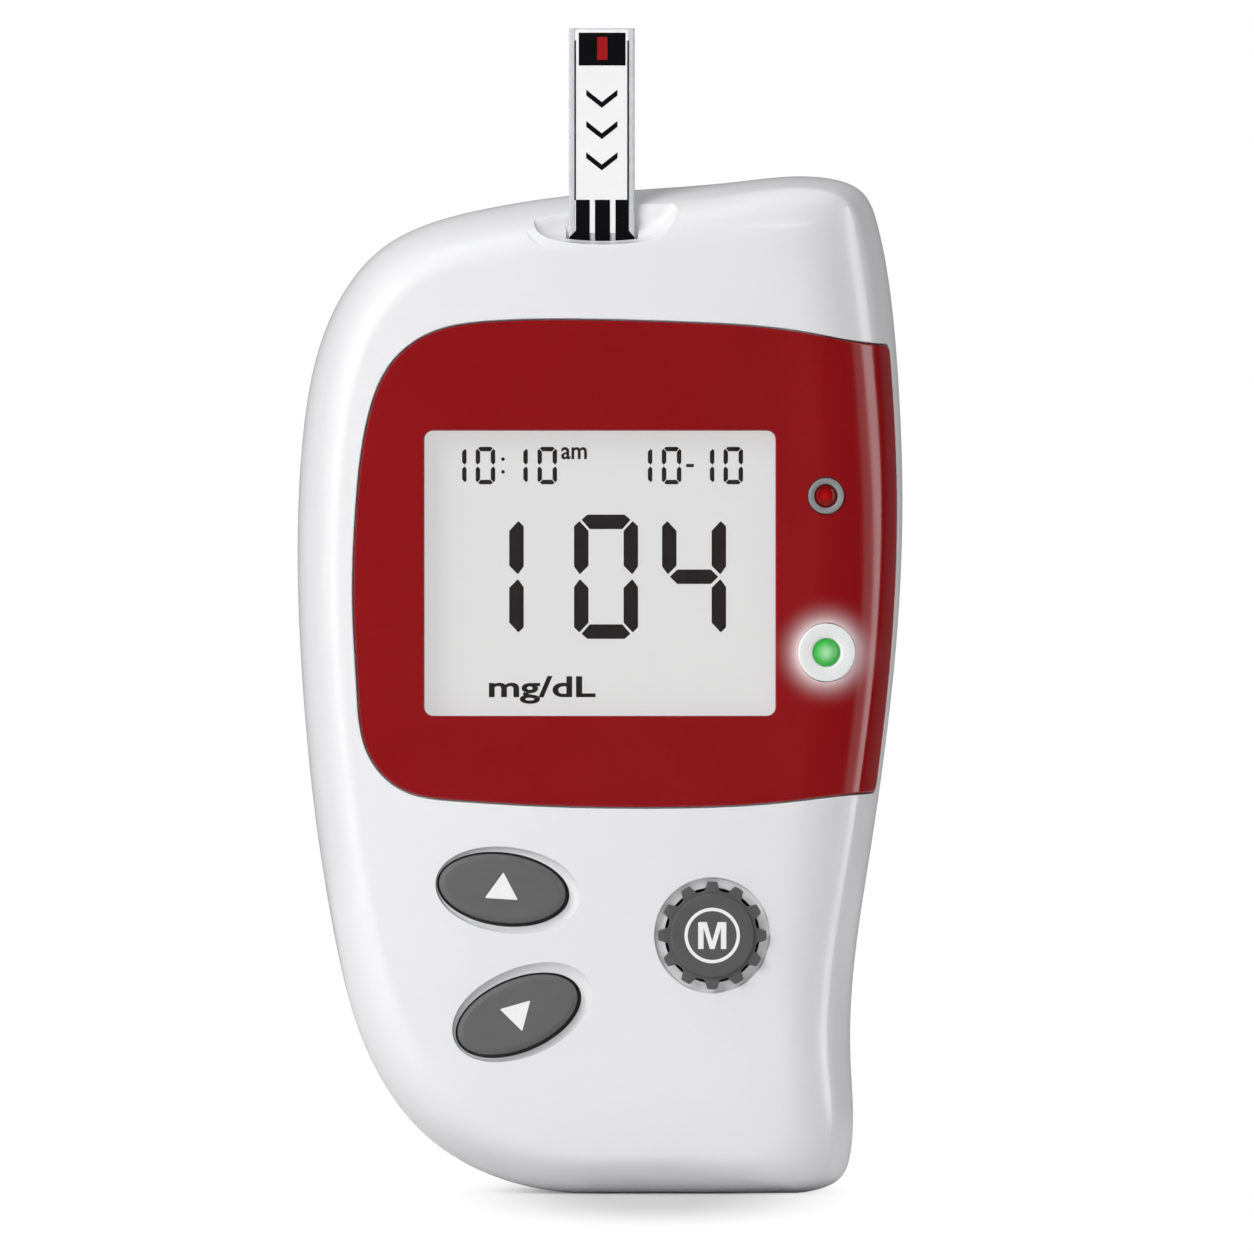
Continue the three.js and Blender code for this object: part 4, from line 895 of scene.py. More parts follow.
opening = {"shares": (0.500, 0.612), "size": (32.5, 26.4, 0.8), "lip": 0.18, "paneRoom": (36.1, 30.0, 2.6)}
openingLoop = rectangleLoop(placeOf(opening["shares"]), *opening["size"])
lampSpecs = {
    "red": {"shares": (0.873, 0.688), "bezel": 1.67, "lens": 1.02},
    "green": {"shares": (0.874, 0.534), "bezel": 2.69, "lens": 1.26},
}
lampSteps = 96


# A frame square to the skin at each lamp: its spot, the direction into the meter, and two across
def lampFrame(spec):
    spot = placeOf(spec["shares"])
    inward = -skinNormals(spot[None])[0]
    across = np.cross(inward, (0, 0, 1))
    across /= np.linalg.norm(across)
    return onSkin(spot[None])[0], inward, across, np.cross(across, inward)


# A lamp's origin, inward direction, and a ring of unit vectors square to it
def lampRing(spec):
    origin, inward, across, up = lampFrame(spec)
    angle = roundTurn(lampSteps)
    return origin, inward, np.cos(angle)[:, None] * across + np.sin(angle)[:, None] * up


# A round cutter on a lamp's axis. It follows the skin, by rows of (outward, depth under the skin).
def lampCutter(name, spec, radius, rows):
    origin, inward, ring = lampRing(spec)
    return skinCutter(name, onSkin((origin + radius * ring)[:, [0, 2]]), rows, inward)


keys = {
    "up": {"shares": (0.339, 0.302), "turn": -7.2, "wellShift": (0.51, -0.14), "wellBorder": 0.85,
           "arrow": [(-10.66, 27.60), (-7.60, 27.40), (-8.94, 29.98)]},
    "down": {"shares": (0.364, 0.178), "turn": 23.2, "wellShift": (0.44, 0.22), "wellBorder": 0.94,
             "arrow": [(-9.27, 17.29), (-7.20, 15.24), (-6.45, 18.10)]},
}
keyShape = {
    "long": 5.89, "short": 3.14, "crown": 0.08, "gap": 0.28, "holeShift": (0.08, -0.08), "wellDepth": 0.5,
    "fallShare": 0.12, "fallPower": 2.4, "holeEndY": 1.5,
    # the cap's edge as (inset, depth)
    "edge": [(0.46, 0.092), (0.40, 0.125), (0.14, 0.33), (0.06, 0.40), (0.015, 0.47), (0, 0.56)],
    # the flange behind the case's skin, as (how far out, how far behind its front)
    "flange": [(0, -0.1), (0.1, 0), (0.7, 0), (0.8, 0.1), (0.8, 0.8)],
}
cog = {
    "shares": (0.685, 0.256), "tip": 5.0, "root": 4.15, "face": 3.9, "step": 0.32, "teeth": 12,
    "rootWidth": 1.3, "tipWidth": 1.05, "recess": 5.35, "hole": 4.42, "lip": 0.08,
    "toothThickness": 0.18, "floorRows": [(-0.03, 0.12), (-0.09, 0.5), (-0.16, 0.54)],
    "faceEdge": [(0.12, 0.02), (0.04, 0.08), (0, 0.18)], "lugs": 3, "lugReach": 1.25,
    "ringOuter": 2.57, "ringInner": 2.26, "letter": (2.62, 2.50),
}


# A key's hole and the dish round it. From the hole's edge to the dish's edge, a row's share t moves it
# from one to the other. It lies 1 - (f t + (1 - f) t^p) of the dish's depth under the skin.
def keyCutter(name, spec):
    centre = placeOf(spec["shares"])
    long, short = keyShape["long"], keyShape["short"]
    gap = keyShape["gap"]
    hole = ellipseLoop(centre + keyShape["holeShift"], long + gap, short + gap, spec["turn"])
    dish = grown(ellipseLoop(centre, long, short, spec["turn"]), spec["wellBorder"]) + spec["wellShift"]
    layers = [onSkin(hole + (dish - hole) * 1.6) + (0, depth, 0) for depth in (-6.0, -0.12)]
    first = keyShape["fallShare"]
    for t in np.linspace(1, 0, 14):
        fall = 1 - (first * t + (1 - first) * t ** keyShape["fallPower"])
        layers.append(onSkin(hole + (dish - hole) * t) + (0, keyShape["wellDepth"] * fall, 0))
    rim = layers[-1]
    layers.append(rim + (0, 0.06, 0))
    layers.append(np.stack([rim[:, 0], np.full(len(rim), keyShape["holeEndY"]), rim[:, 2]], -1))
    return closedForm(name, layers, cut=1)


notch = {
    "backY": -6.85, "backCurve": 0.5, "lip": 0.16, "fade": 0.7,
    "centre": (0.5, 91.0), "spine": (0.74, 0.36), "halfWidth": 6.6, "sink": 0.002,
    "outline": [
        (-2.70, 88.28), (0.45, 88.12), (3.30, 88.28), (5.05, 88.68), (6.20, 89.45), (6.95, 90.50),
        (7.10, 91.40),
        (6.30, 92.15), (3.80, 92.60), (0.50, 92.45), (-3.00, 92.00), (-5.20, 91.35), (-6.05, 90.35),
        (-5.78, 89.35), (-4.70, 88.68),
    ],
}
strip = {"x": 0.1686, "width": 6.1, "frontY": -7.95, "backY": -7.45, "gap": 0.3, "slotZ": (80, 90),
         "guide": ((-8.2, -10.15, 84.4), (9.1, -5.1, 94.2)), "guideInset": 1.0}


# A box between its lowest and highest corners
def boxForm(name, low, high, cut=1):
    low = np.array(low, float)
    high = np.array(high, float)
    loop = np.array([[low[0], low[2]], [high[0], low[2]], [high[0], high[2]], [low[0], high[2]]])
    rows = [np.insert(loop, 1, depth, axis=1) for depth in (low[1], high[1])]
    return closedForm(name, rows, cut=cut)


# The notch is a scoop. From its outline on the skin it runs in along quarter ellipses: at angle a it has
# come 1 - cos a of the way to a spine in its middle, and sin a of the way down to a hollow back. Where the
# skin already lies behind the back, above the crease, the lip shrinks to nothing.
def notchCutter():
    outline = smoothLoop(notch["outline"], 260)
    centre = np.array(notch["centre"])
    spine = centre + (outline - centre) * notch["spine"]
    skin = skinDepth(outline)
    back = notch["backY"] - notch["backCurve"] * ((outline[:, 0] - centre[0]) / notch["halfWidth"]) ** 2
    room = np.clip((back - skin) / notch["fade"], 0, 1)
    start = np.minimum(skin, back)
    outward = grown(outline, 1.0) - outline
    layers = []
    for offset, down in lipRows(notch["lip"]):
        layers.append(np.insert(outline + outward * (offset * room)[:, None], 1, start + down * room, axis=1))
    first = start + notch["lip"] * room
    for angle in np.radians(np.linspace(8, 90, 11)):
        spots = outline + (spine - outline) * (1 - math.cos(angle))
        depth = first + (back - first) * math.sin(angle) + notch["sink"]
        layers.append(np.insert(spots, 1, depth, axis=1))
    return closedForm("notchCutter", layers, lastPole=(centre[0], notch["backY"], centre[1]), cut=1)


# The front half of the case: its outer and inner skin with a chamfer at the seam, joined by the strip's
# guide, and cut for the plate, the pane, the lamps, the keys, the cog and the strip
def frontShell():
    edge = -body["seamGap"]
    wall = body["frontWall"]
    deepest = (np.inf, edge - body["seamRoom"], np.inf)
    rows = frontRows(0) + [rimRow(0, edge - body["seamChamfer"]), rimRow(body["seamChamfer"], edge),
                           rimRow(wall, edge)]
    rows += [np.minimum(row, deepest) for row in frontRows(wall, 6, 6, 6)[::-1]]
    shell = closedForm("front_shell_case", rows, facePole(body["faceY"]), facePole(body["faceY"] + wall))
    uncut = spareCopy(shell)
    guide = boxForm("guide", *strip["guide"], cut=0)
    carve(guide, [frontForm("backing", strip["guideInset"], 0.0)], "INTERSECT")
    carve(shell, [guide], "UNION")
    pocket = platePrism("pocket", plate["gap"], lipRows(plate["pocketLip"]))
    carve(pocket, [frontForm("pocketFloor", plate["thickness"] + plate["floorGap"], 2.0)])
    room = rectangleLoop(placeOf(opening["shares"]), *opening["paneRoom"])
    cutters = [pocket, closedForm("paneRoom", depthRows(room, [(0, -12), (0, 1)]), cut=1)]
    cutters += [lampCutter(name, spec, spec["bezel"] + 0.3, [(0, cutFrom), (0, lampCutTo)])
                for name, spec in lampSpecs.items()]
    cutters += [keyCutter(name, spec) for name, spec in keys.items()]
    centre = placeOf(cog["shares"])
    ring = onSkin(ellipseLoop(centre, cog["recess"], cog["recess"], 0, 192))
    cutters.append(skinCutter("recess", ring, lipRows(cog["lip"]) + cog["floorRows"]))
    hole = onSkin(ellipseLoop(centre, cog["hole"], cog["hole"], 0, 128))
    cutters += [skinCutter("hole", hole, [(0, cutFrom), (0, cutTo)]), notchCutter()]
    half = strip["width"] / 2 + strip["gap"]
    low, high = strip["slotZ"]
    cutters.append(boxForm("slot", (strip["x"] - half, strip["frontY"] - strip["gap"], low),
                           (strip["x"] + half, strip["backY"] + strip["gap"], high)))
    carve(shell, cutters)
    shade(shell, form=uncut)
    place(shell, "front_shell", "case")


# The red plate: the front's skin inside the plate's outline, as thick as the plate
def facePlate():
    piece = frontForm("faceplate_inlay", 0, 0.0)
    uncut = spareCopy(piece)
    lip = plate["lip"]
    angles = np.radians(np.linspace(plate["lipSteepest"], 0, 5))
    rows = [(-lip * (1 - math.cos(a)), lip * (1 - math.sin(a))) for a in angles]
    offset, depth = rows[0]
    flared = offset - plate["flare"]
    rows = [(flared, depth - plate["flareReach"]), (flared, depth - 0.2)] + rows
    carve(piece, [platePrism("outline", 0.0, rows)], "INTERSECT")
    cutters = [frontForm("underside", plate["thickness"], 2.0, cut=1),
               skinCutter("opening", onSkin(openingLoop), lipRows(opening["lip"]) + [(0, cutTo)])]
    cutters += [lampCutter(name, spec, spec["bezel"] + 0.07, lipRows(0.12, 2.0, 0.3) + [(0, lampCutTo)])
                for name, spec in lampSpecs.items()]
    carve(piece, cutters)
    shade(piece, form=uncut)
    place(piece, "faceplate", "plate")


rear = {
    "lip": 0.22,
    "bayPlace": placeOf((0.500, 0.476)),
    "bay": (21.7, 51.1),
    "trayWall": 1.2,
    "trayY": -2.65,
    "ledgeY": 9.25,
    "recess": (27.3, 56.7, 1.75),
    "frame": (31.3, 14.49, 77.79),
    "frameY": 6.85,
    "innerY": 10.25,
    "hookX": 5.425,
    "hookSlot": (2.4, 5.85, 9.7, 75.89),
    "posts": placeOf([(0.198, 0.133), (0.811, 0.096), (0.153, 0.855), (0.865, 0.865)]),
    "seatY": 6.25,
    "postRadius": 2.9,
    "boreRadius": 2.1,
    "pilotRadius": 1.1,
}


# Depth of the rear skin: flat inside the roll, and a quarter of an ellipse across it
def rearDepth(spots):
    station, share = alongFamily(faceLoop, rimLoop, spots)
    width = stationed(rollWidth, station) * body["rearRollShare"]
    inset = stationed(rollWidth, station) * (1 - share)
    level = np.clip(1 - inset / width, 0, 1)
    rolled = body["rearY"] - body["rearRoll"] * (1 - np.sqrt(1 - level ** 2))
    return np.where(share > 0, rolled, body["rearY"])


# A round bar along the depth
def barForm(name, centre, radius, frontY, backY, count=64):
    return closedForm(name, [circleRow(centre, radius, depth, count) for depth in (frontY, backY)], cut=1)


# The rear half of the case: hollowed, joined by the cells' tray, the cover's frame and the screw posts, and
# cut for the bay, the cover, its hooks and the screws
def rearShell():
    edge = body["seamGap"]
    wall = body["rearWall"]
    rows = [rimRow(wall, edge), rimRow(body["seamChamfer"], edge), rimRow(0, edge + body["seamChamfer"])]
    back = closedForm("rear_shell_case", rows + rearRows(0), facePole(edge), facePole(body["rearY"]))
    hollow = closedForm("rear_hollow", [rimRow(wall, -1.0)] + rearRows(wall, 8),
                        facePole(-1.0), facePole(body["rearY"] - wall), cut=1)
    uncut = spareCopy(back)
    carve(back, [hollow])
    x, z = rear["bayPlace"]
    wide = rear["bay"][0] / 2 + rear["trayWall"]
    tall = rear["bay"][1] / 2 + rear["trayWall"]
    frameWidth, frameLow, frameHigh = rear["frame"]
    inner = rear["innerY"]
    parts = [boxForm("tray", (x - wide, rear["trayY"], z - tall), (x + wide, inner, z + tall)),
             boxForm("frame", (-frameWidth / 2, rear["frameY"], frameLow),
                     (frameWidth / 2, inner, frameHigh))]
    parts += [barForm("post", post, rear["postRadius"], 0.15, inner) for post in rear["posts"]]
    carve(back, parts, "UNION")
    ledge = rear["ledgeY"]
    bay = rectangleLoop(rear["bayPlace"], *rear["bay"], 0.6)
    cutters = [closedForm("bay", depthRows(bay, [
        (0, rear["trayY"] + rear["trayWall"]), (0, ledge - 0.2), (0.2, ledge), (0.2, 10.0)]), cut=1)]
    lip = lipRows(rear["lip"], 2.0)
    recess = rectangleLoop(rear["bayPlace"], *rear["recess"])
    cutters.append(closedForm("coverRecess", depthRows(recess, [
        (offset, body["rearY"] - depth) for offset, depth in lip] + [(0, ledge)]), cut=1))
    half, slotFront, slotBack, slotHigh = rear["hookSlot"]
    for side in (-1, 1):
        middle = side * rear["hookX"]
        slotLow = z + rear["bay"][1] / 2 - 1
        cutters.append(boxForm("hookSlot", (middle - half, slotFront, slotLow),
                               (middle + half, slotBack, slotHigh)))
    for post in rear["posts"]:
        ring = ellipseLoop(post, rear["boreRadius"], rear["boreRadius"], 0, 72)
        skin = rearDepth(ring)
        layers = [np.insert(grown(ring, offset), 1, skin - depth, axis=1) for offset, depth in lip]
        layers += [np.insert(ring, 1, rear["seatY"] + 0.1, axis=1),
                   np.insert(grown(ring, -0.1), 1, rear["seatY"], axis=1)]
        cutters += [closedForm("screwBore", layers, cut=1),
                    barForm("pilot", post, rear["pilotRadius"], -1, 8, 40)]
    carve(back, cutters)
    shade(back, form=uncut)
    place(back, "rear_shell", "case")


cover = {
    "size": (26.9, 56.3, 1.6),
    "frontY": 9.55,
    "edge": 0.3,
    "thumbZ": 23.69,
    "thumb": (7.0, 1.4, 3.5),
    "ribs": 5,
    "ribPitch": 1.15,
    "ribRadius": 0.28,
    "ribReach": 5.6,
    "thumbHalf": 3.6,
    "ribDrop": 0.62,
    "ribFall": 0.1,
    "ribDepth": 0.42,
    # half a hook's width, then the lowest and highest depth and height of its root and of its arm
    "hookHalf": 2.1,
    "hook": [(8.25, 10.35, 70.69, 72.09), (8.25, 9.25, 70.71, 75.29)],
}


# An ellipsoid: rows are circles of the cosine of the latitude, raised by its sine, along the depth.
def ellipsoidForm(name, centre, radii, count=96, rings=40):
    latitude = np.linspace(-math.pi / 2, math.pi / 2, rings + 2)[1:-1]
    angle = roundTurn(count)
    rows = np.stack([
        centre[0] + radii[0] * np.cos(latitude)[:, None] * np.cos(angle),
        centre[1] + radii[1] * np.sin(latitude)[:, None] * np.ones(count),
        centre[2] + radii[2] * np.cos(latitude)[:, None] * np.sin(angle)], -1)
    return closedForm(name, rows, (centre[0], centre[1] - radii[1], centre[2]),
                      (centre[0], centre[1] + radii[1], centre[2]), cut=1)


# The battery cover: a panel with a rounded edge, a thumb hollow whose ribs follow its round outline, and
# two hooks
def batteryCover():
    outline = rectangleLoop(rear["bayPlace"], *cover["size"])
    edge = cover["edge"]
    angles = np.radians(np.linspace(0, 90, 6))
    rows = [(-0.1, cover["frontY"]), (0, cover["frontY"] + 0.1)]
    rows += [(-edge * (1 - math.cos(a)), body["rearY"] - edge * (1 - math.sin(a))) for a in angles]
    panel = closedForm("battery_cover_panel", depthRows(outline, rows))
    uncut = spareCopy(panel)
    carve(panel, [ellipsoidForm("thumb", (0.0, body["rearY"] + 0.7, cover["thumbZ"]), cover["thumb"])])
    half = cover["hookHalf"]
    parts = [boxForm("hook", (side * rear["hookX"] - half, frontY, lowZ),
                     (side * rear["hookX"] + half, backY, highZ))
             for side in (-1, 1) for frontY, backY, lowZ, highZ in cover["hook"]]
    for rib in range(cover["ribs"]):
        across = rib - (cover["ribs"] - 1) / 2
        reach = cover["ribReach"] * math.sqrt(1 - (across * cover["ribPitch"] / cover["thumbHalf"]) ** 2)
        centre = (0, body["rearY"] - cover["ribDrop"] + cover["ribFall"] * abs(across),
                  cover["thumbZ"] + across * cover["ribPitch"])
        parts.append(ellipsoidForm("rib", centre, (reach, cover["ribDepth"], cover["ribRadius"]), 64, 16))
    carve(panel, parts, "UNION")
    shade(panel, form=uncut)
    place(panel, "battery_cover", "case", "cover")


buttonTopY = -11.15
# what the keys and the cog have alike behind the case's skin
stem = {"radius": 1.5, "endY": -6.65, "behind": 2.3, "thickness": 0.8}


# Depth at which the flange of a key begins, behind the skin at its centre
def flangeDepth(centre):
    return float(skinDepth(centre[None])[0]) + stem["behind"]


# A key's cap, in ellipses: a top that falls as the square of the share of its size, a rounded edge, a
# flange and the stem that meets the switch
def keyCap(name, spec):
    centre = placeOf(spec["shares"])
    underY = flangeDepth(centre)
    long, short, crown = keyShape["long"], keyShape["short"], keyShape["crown"]
    rows = [((long - 0.5) * share, (short - 0.5) * share, buttonTopY + crown * share ** 2)
            for share in np.linspace(0.1, 1, 9)]
    rows += [(long - inset, short - inset, buttonTopY + depth) for inset, depth in keyShape["edge"]]
    rows += [(long + out, short + out, underY + behind) for out, behind in keyShape["flange"]]
    rows += [(stem["radius"], stem["radius"], depth) for depth in (underY + stem["thickness"], stem["endY"])]
    layers = [np.insert(ellipseLoop(centre, a, b, spec["turn"], 144), 1, depth, axis=1)
              for a, b, depth in rows]
    cap = closedForm(f"{name}_key_cap", layers, (centre[0], buttonTopY, centre[1]))
    shade(cap)
    place(cap, f"{name}_button", "key", f"{name}_key")


# A closed outline with its corners rounded: each corner becomes a quadratic curve between points at the
# given reach along its sides.
def roundedOutline(corners, reach, steps=6):
    corners = np.asarray(corners, float)
    before = np.roll(corners, 1, 0) - corners
    after = np.roll(corners, -1, 0) - corners
    start = corners + before / np.linalg.norm(before, axis=1)[:, None] * reach
    end = corners + after / np.linalg.norm(after, axis=1)[:, None] * reach
    t = np.linspace(0, 1, steps)[None, :, None]
    curve = (1 - t) ** 2 * start[:, None] + 2 * t * (1 - t) * corners[:, None] + t ** 2 * end[:, None]
    return curve.reshape(-1, 2)


# The corners of a rectangle from its sides, counter-clockwise
def rectangleCorners(x0, x1, z0, z1):
    return [(x0, z0), (x1, z0), (x1, z1), (x0, z1)]


# A thin print standing on a surface: a closed slab between two depths, with a rounded front edge
def inkForm(name, loop, frontY, backY, bodyName, finish):
    rows = depthRows(loop, [(-0.015, frontY), (0, frontY + 0.01), (0, backY)])
    ink = closedForm(name, rows, flatEnds=True)
    shade(ink)
    ink.data.materials.append(finishes[finish])
    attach(ink, bodyName)


# The memory key: a round face, a lower ring of teeth, three lugs behind the case's floor, and a stem. Each
# row is a loop whose radius follows the teeth or stays even.
def memoryCog():
    centre = placeOf(cog["shares"])
    underY = flangeDepth(centre)
    root, tip, face = cog["root"], cog["tip"], cog["face"]
    pitch = 2 * math.pi / cog["teeth"]
    # one tooth's outline about the top of the cog, as (turn, radius), from gap to gap
    rootTurn = cog["rootWidth"] / 2 / root
    tipTurn = cog["tipWidth"] / 2 / tip
    flank = [(-pitch / 2, root), (-rootTurn * 1.5, root), (-rootTurn * 1.12, root + 0.03),
             (-rootTurn, root + 0.12), (-tipTurn * 1.02, tip - 0.2), (-tipTurn * 0.93, tip - 0.07),
             (-tipTurn * 0.72, tip)]
    tooth = np.array(flank + [(0, tip + 0.01)] + [(-turn, radius) for turn, radius in flank[:0:-1]])
    knots = np.linspace(0, 1, len(tooth))
    fine = np.linspace(0, 1, 40)
    turns = np.interp(fine, knots, tooth[:, 0])[:-1]
    turn = (turns[None] + pitch * np.arange(cog["teeth"])[:, None]).ravel()
    radius = np.tile(np.interp(fine, knots, tooth[:, 1])[:-1], cog["teeth"])
    unit = np.stack([np.sin(-turn), np.cos(turn)], -1)

    def ring(value, depth):
        return np.insert(centre + unit * np.asarray(value).reshape(-1, 1), 1, depth, axis=1)

    stepY = buttonTopY + cog["step"]
    backY = stepY + cog["toothThickness"]
    rows = [ring(r, buttonTopY) for r in np.linspace(0.5, face - 0.22, 8)]
    rows += [ring(face - inset, buttonTopY + depth) for inset, depth in cog["faceEdge"]]
    rows += [ring(face, stepY), ring(np.maximum(radius - 0.14, face + 0.02), stepY),
             ring(radius - 0.05, stepY + 0.03), ring(radius, stepY + 0.08), ring(radius, stepY + 0.1),
             ring(np.minimum(radius, root + 0.45), backY), ring(root - 0.1, backY + 0.01),
             ring(root - 0.1, underY)]
    # the lugs rise over a tenth of a radian on each side and are flat between
    away = np.abs((turn * cog["lugs"] / (2 * math.pi) + 0.5) % 1 - 0.5) * 2 * math.pi / cog["lugs"]
    lug = root - 0.1 + cog["lugReach"] * np.clip(2.4 - away * 10, 0, 1)
    rows += [ring(lug, underY + 0.01), ring(lug, underY + stem["thickness"]),
             ring(stem["radius"], underY + stem["thickness"] + 0.01), ring(stem["radius"], stem["endY"])]
    cap = closedForm("memory_key_cap", rows, (centre[0], buttonTopY, centre[1]))
    shade(cap)
    place(cap, "memory_button", "cog", "memory_key")


# A flat ring: rows go round its section, so it closes on itself without poles.
def ringForm(name, centre, outer, inner, frontY, backY, count=128):
    section = [(outer, backY), (outer, frontY + 0.01), (outer - 0.012, frontY), (inner + 0.012, frontY),
               (inner, frontY + 0.01), (inner, backY)]
    return wrappedForm(name, [circleRow(centre, radius, depth, count) for radius, depth in section])


# Words as solid letters between two depths, fitted to a rectangle of the face: low x, high x, low z, high z
def lettering(name, words, fit, frontY, backY, bodyName, finish, weight):
    curve = bpy.data.curves.new(name, "FONT")
    curve.body = words
    curve.offset = weight
    curve.extrude = 0.5
    curve.resolution_u = 6
    maker = bpy.data.objects.new("lettering", curve)
    workCollection.objects.link(maker)
    bpy.context.view_layer.update()
    mesh = evaluated(maker)
    bpy.data.objects.remove(maker)
    bpy.data.curves.remove(curve)
    flat = np.empty(len(mesh.vertices) * 3)
    mesh.vertices.foreach_get("co", flat)
    flat = flat.reshape(-1, 3)
    low, high = flat.min(0), flat.max(0)
    share = (flat - low) / (high - low)
    corners = np.stack([fit[0] + share[:, 0] * (fit[1] - fit[0]), backY + share[:, 2] * (frontY - backY),
                        fit[2] + share[:, 1] * (fit[3] - fit[2])], -1)
    mesh.vertices.foreach_set("co", (corners * metresPerMm).ravel())
    mesh.update()
    piece = bpy.data.objects.new(name, mesh)
    workCollection.objects.link(piece)
    mesh.materials.clear()
    mesh.materials.append(finishes[finish])
    weld = piece.modifiers.new("weld", "WELD")
    weld.merge_threshold = 0.000001
    bpy.context.view_layer.update()
    welded = evaluated(piece)
    piece.modifiers.clear()
    piece.data = welded
    bpy.data.meshes.remove(mesh)
    welded.name = name
    welded.shade_flat()
    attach(piece, bodyName)


display = {
    "pane": (35.5, 29.4, 2.3),
    "paneY": (-9.25, -8.45),
    "panel": (35.7, 33.2, 0.3),
    "panelFront": (35.7, 29.8),
    "panelY": (-8.15, -7.25, -6.35),
    "inkY": (-8.175, -8.145),
    "big": {"width": 5.94, "height": 11.52, "stroke": 1.345, "topZ": 63.06},
    "small": {"width": 1.81, "height": 3.47, "stroke": 0.415, "topZ": 69.34},
    # the digits' right edges, and which of the seven segments show
    "bigDigits": [(-7.07, "bc"), (3.53, "abcdef"), (11.69, "bcfg")],
    "smallDigits": [(-12.37, "bc"), (-9.71, "abcdef"), (-6.69, "bc"), (-3.98, "abcdef"),
                    (4.85, "bc"), (7.54, "abcdef"), (10.60, "bc"), (13.26, "abcdef")],
    "words": [("mg/dL", (-10.30, -0.41, 45.52, 48.10), 0.022), ("am", (-3.60, -1.21, 68.18, 69.32), 0.018)],
    "dash": (7.98, 8.70, 67.46, 67.76),
    "dots": [(-8.99, 68.20), (-8.99, 67.02)],
    "dotRadius": 0.17,
    "paneEdge": 0.12,
    "panelEdge": 0.06,
    "panelRoom": 0.2,
}


# Corners of the seven segments in a digit's box, from its lower left corner, a flat list each. Ends are
# pointed, and neighbours part along 45 degree lines.
def segmentCorners(size):
    w, h, t = size["width"], size["height"], size["stroke"]
    half = h / 2
    upper = np.array([(0, h - 0.80 * t), (0, half + 0.71 * t), (0.40 * t, half + 0.16 * t),
                      (t, half + 0.76 * t), (t, h - 1.12 * t), (0.37 * t, h - 0.44 * t)])
    bar = np.array([(0.92 * t, h), (0.52 * t, h - 0.35 * t), (1.08 * t, h - t), (w - 1.08 * t, h - t),
                    (w - 0.52 * t, h - 0.35 * t), (w - 0.92 * t, h)])
    middle = np.array([(0.54 * t, half), (1.05 * t, half - 0.5 * t), (w - 1.05 * t, half - 0.5 * t),
                       (w - 0.54 * t, half), (w - 1.05 * t, half + 0.5 * t), (1.05 * t, half + 0.5 * t)])
    flipX = np.array([w, 0]) + upper[::-1] * (-1, 1)
    flipped = np.array([0, h]) + upper[::-1] * (1, -1)
    both = np.array([w, h]) - upper
    lowBar = np.array([0, h]) + bar[::-1] * (1, -1)
    return {"a": bar, "f": upper, "b": flipX, "e": flipped, "c": both, "d": lowBar, "g": middle}


# The pane, the panel with its contact ledge, and all that the panel shows
def displayPieces():
    centre = placeOf(opening["shares"])
    front, back = display["paneY"]
    edge = display["paneEdge"]
    window = closedForm("window_pane", depthRows(rectangleLoop(centre, *display["pane"]), [
        (-edge, front), (0, front + edge), (0, back - edge), (-edge, back)]))
    shade(window)
    place(window, "display_window", "pane")
    wide, tall, corner = display["panel"]
    glassWide, glassTall = display["panelFront"]
    glass = rectangleLoop(centre, glassWide - display["panelRoom"], glassTall, corner)
    ledge = rectangleLoop(centre, wide, tall, corner)
    y = display["panelY"]
    edge = display["panelEdge"]
    layers = [np.insert(loop, 1, depth, axis=1) for loop, depth in (
        (grown(glass, -edge), y[0]), (glass, y[0] + edge), (glass, y[1]), (ledge, y[1]), (ledge, y[2]))]
    panel = closedForm("lcd_glass_panel", layers)
    shade(panel)
    place(panel, "lcd_panel", "lcd")
    inkFront, inkBack = display["inkY"]

    def ink(name, loop):
        inkForm(f"segment_{name}", loop, inkFront, inkBack, "meter", "segment")

    for kind in ("big", "small"):
        size = display[kind]
        segments = segmentCorners(size)
        for number, (right, lit) in enumerate(display[kind + "Digits"]):
            origin = np.array([right - size["width"], size["topZ"] - size["height"]])
            for key in lit:
                corners = origin + segments[key]
                ink(f"{kind}_{number}_{key}", roundedOutline(corners, 0.05 * size["stroke"], 3))
    radius = display["dotRadius"]
    for number, spot in enumerate(display["dots"]):
        ink(f"dot_{number}", ellipseLoop(np.array(spot), radius, radius, 0, 24))
    ink("dash", roundedOutline(rectangleCorners(*display["dash"]), 0.05, 3))
    for words, fit, weight in display["words"]:
        lettering(f"segment_{words.replace('/', '_')}", words, fit, inkFront, inkBack, "meter", "segment",
                  weight)


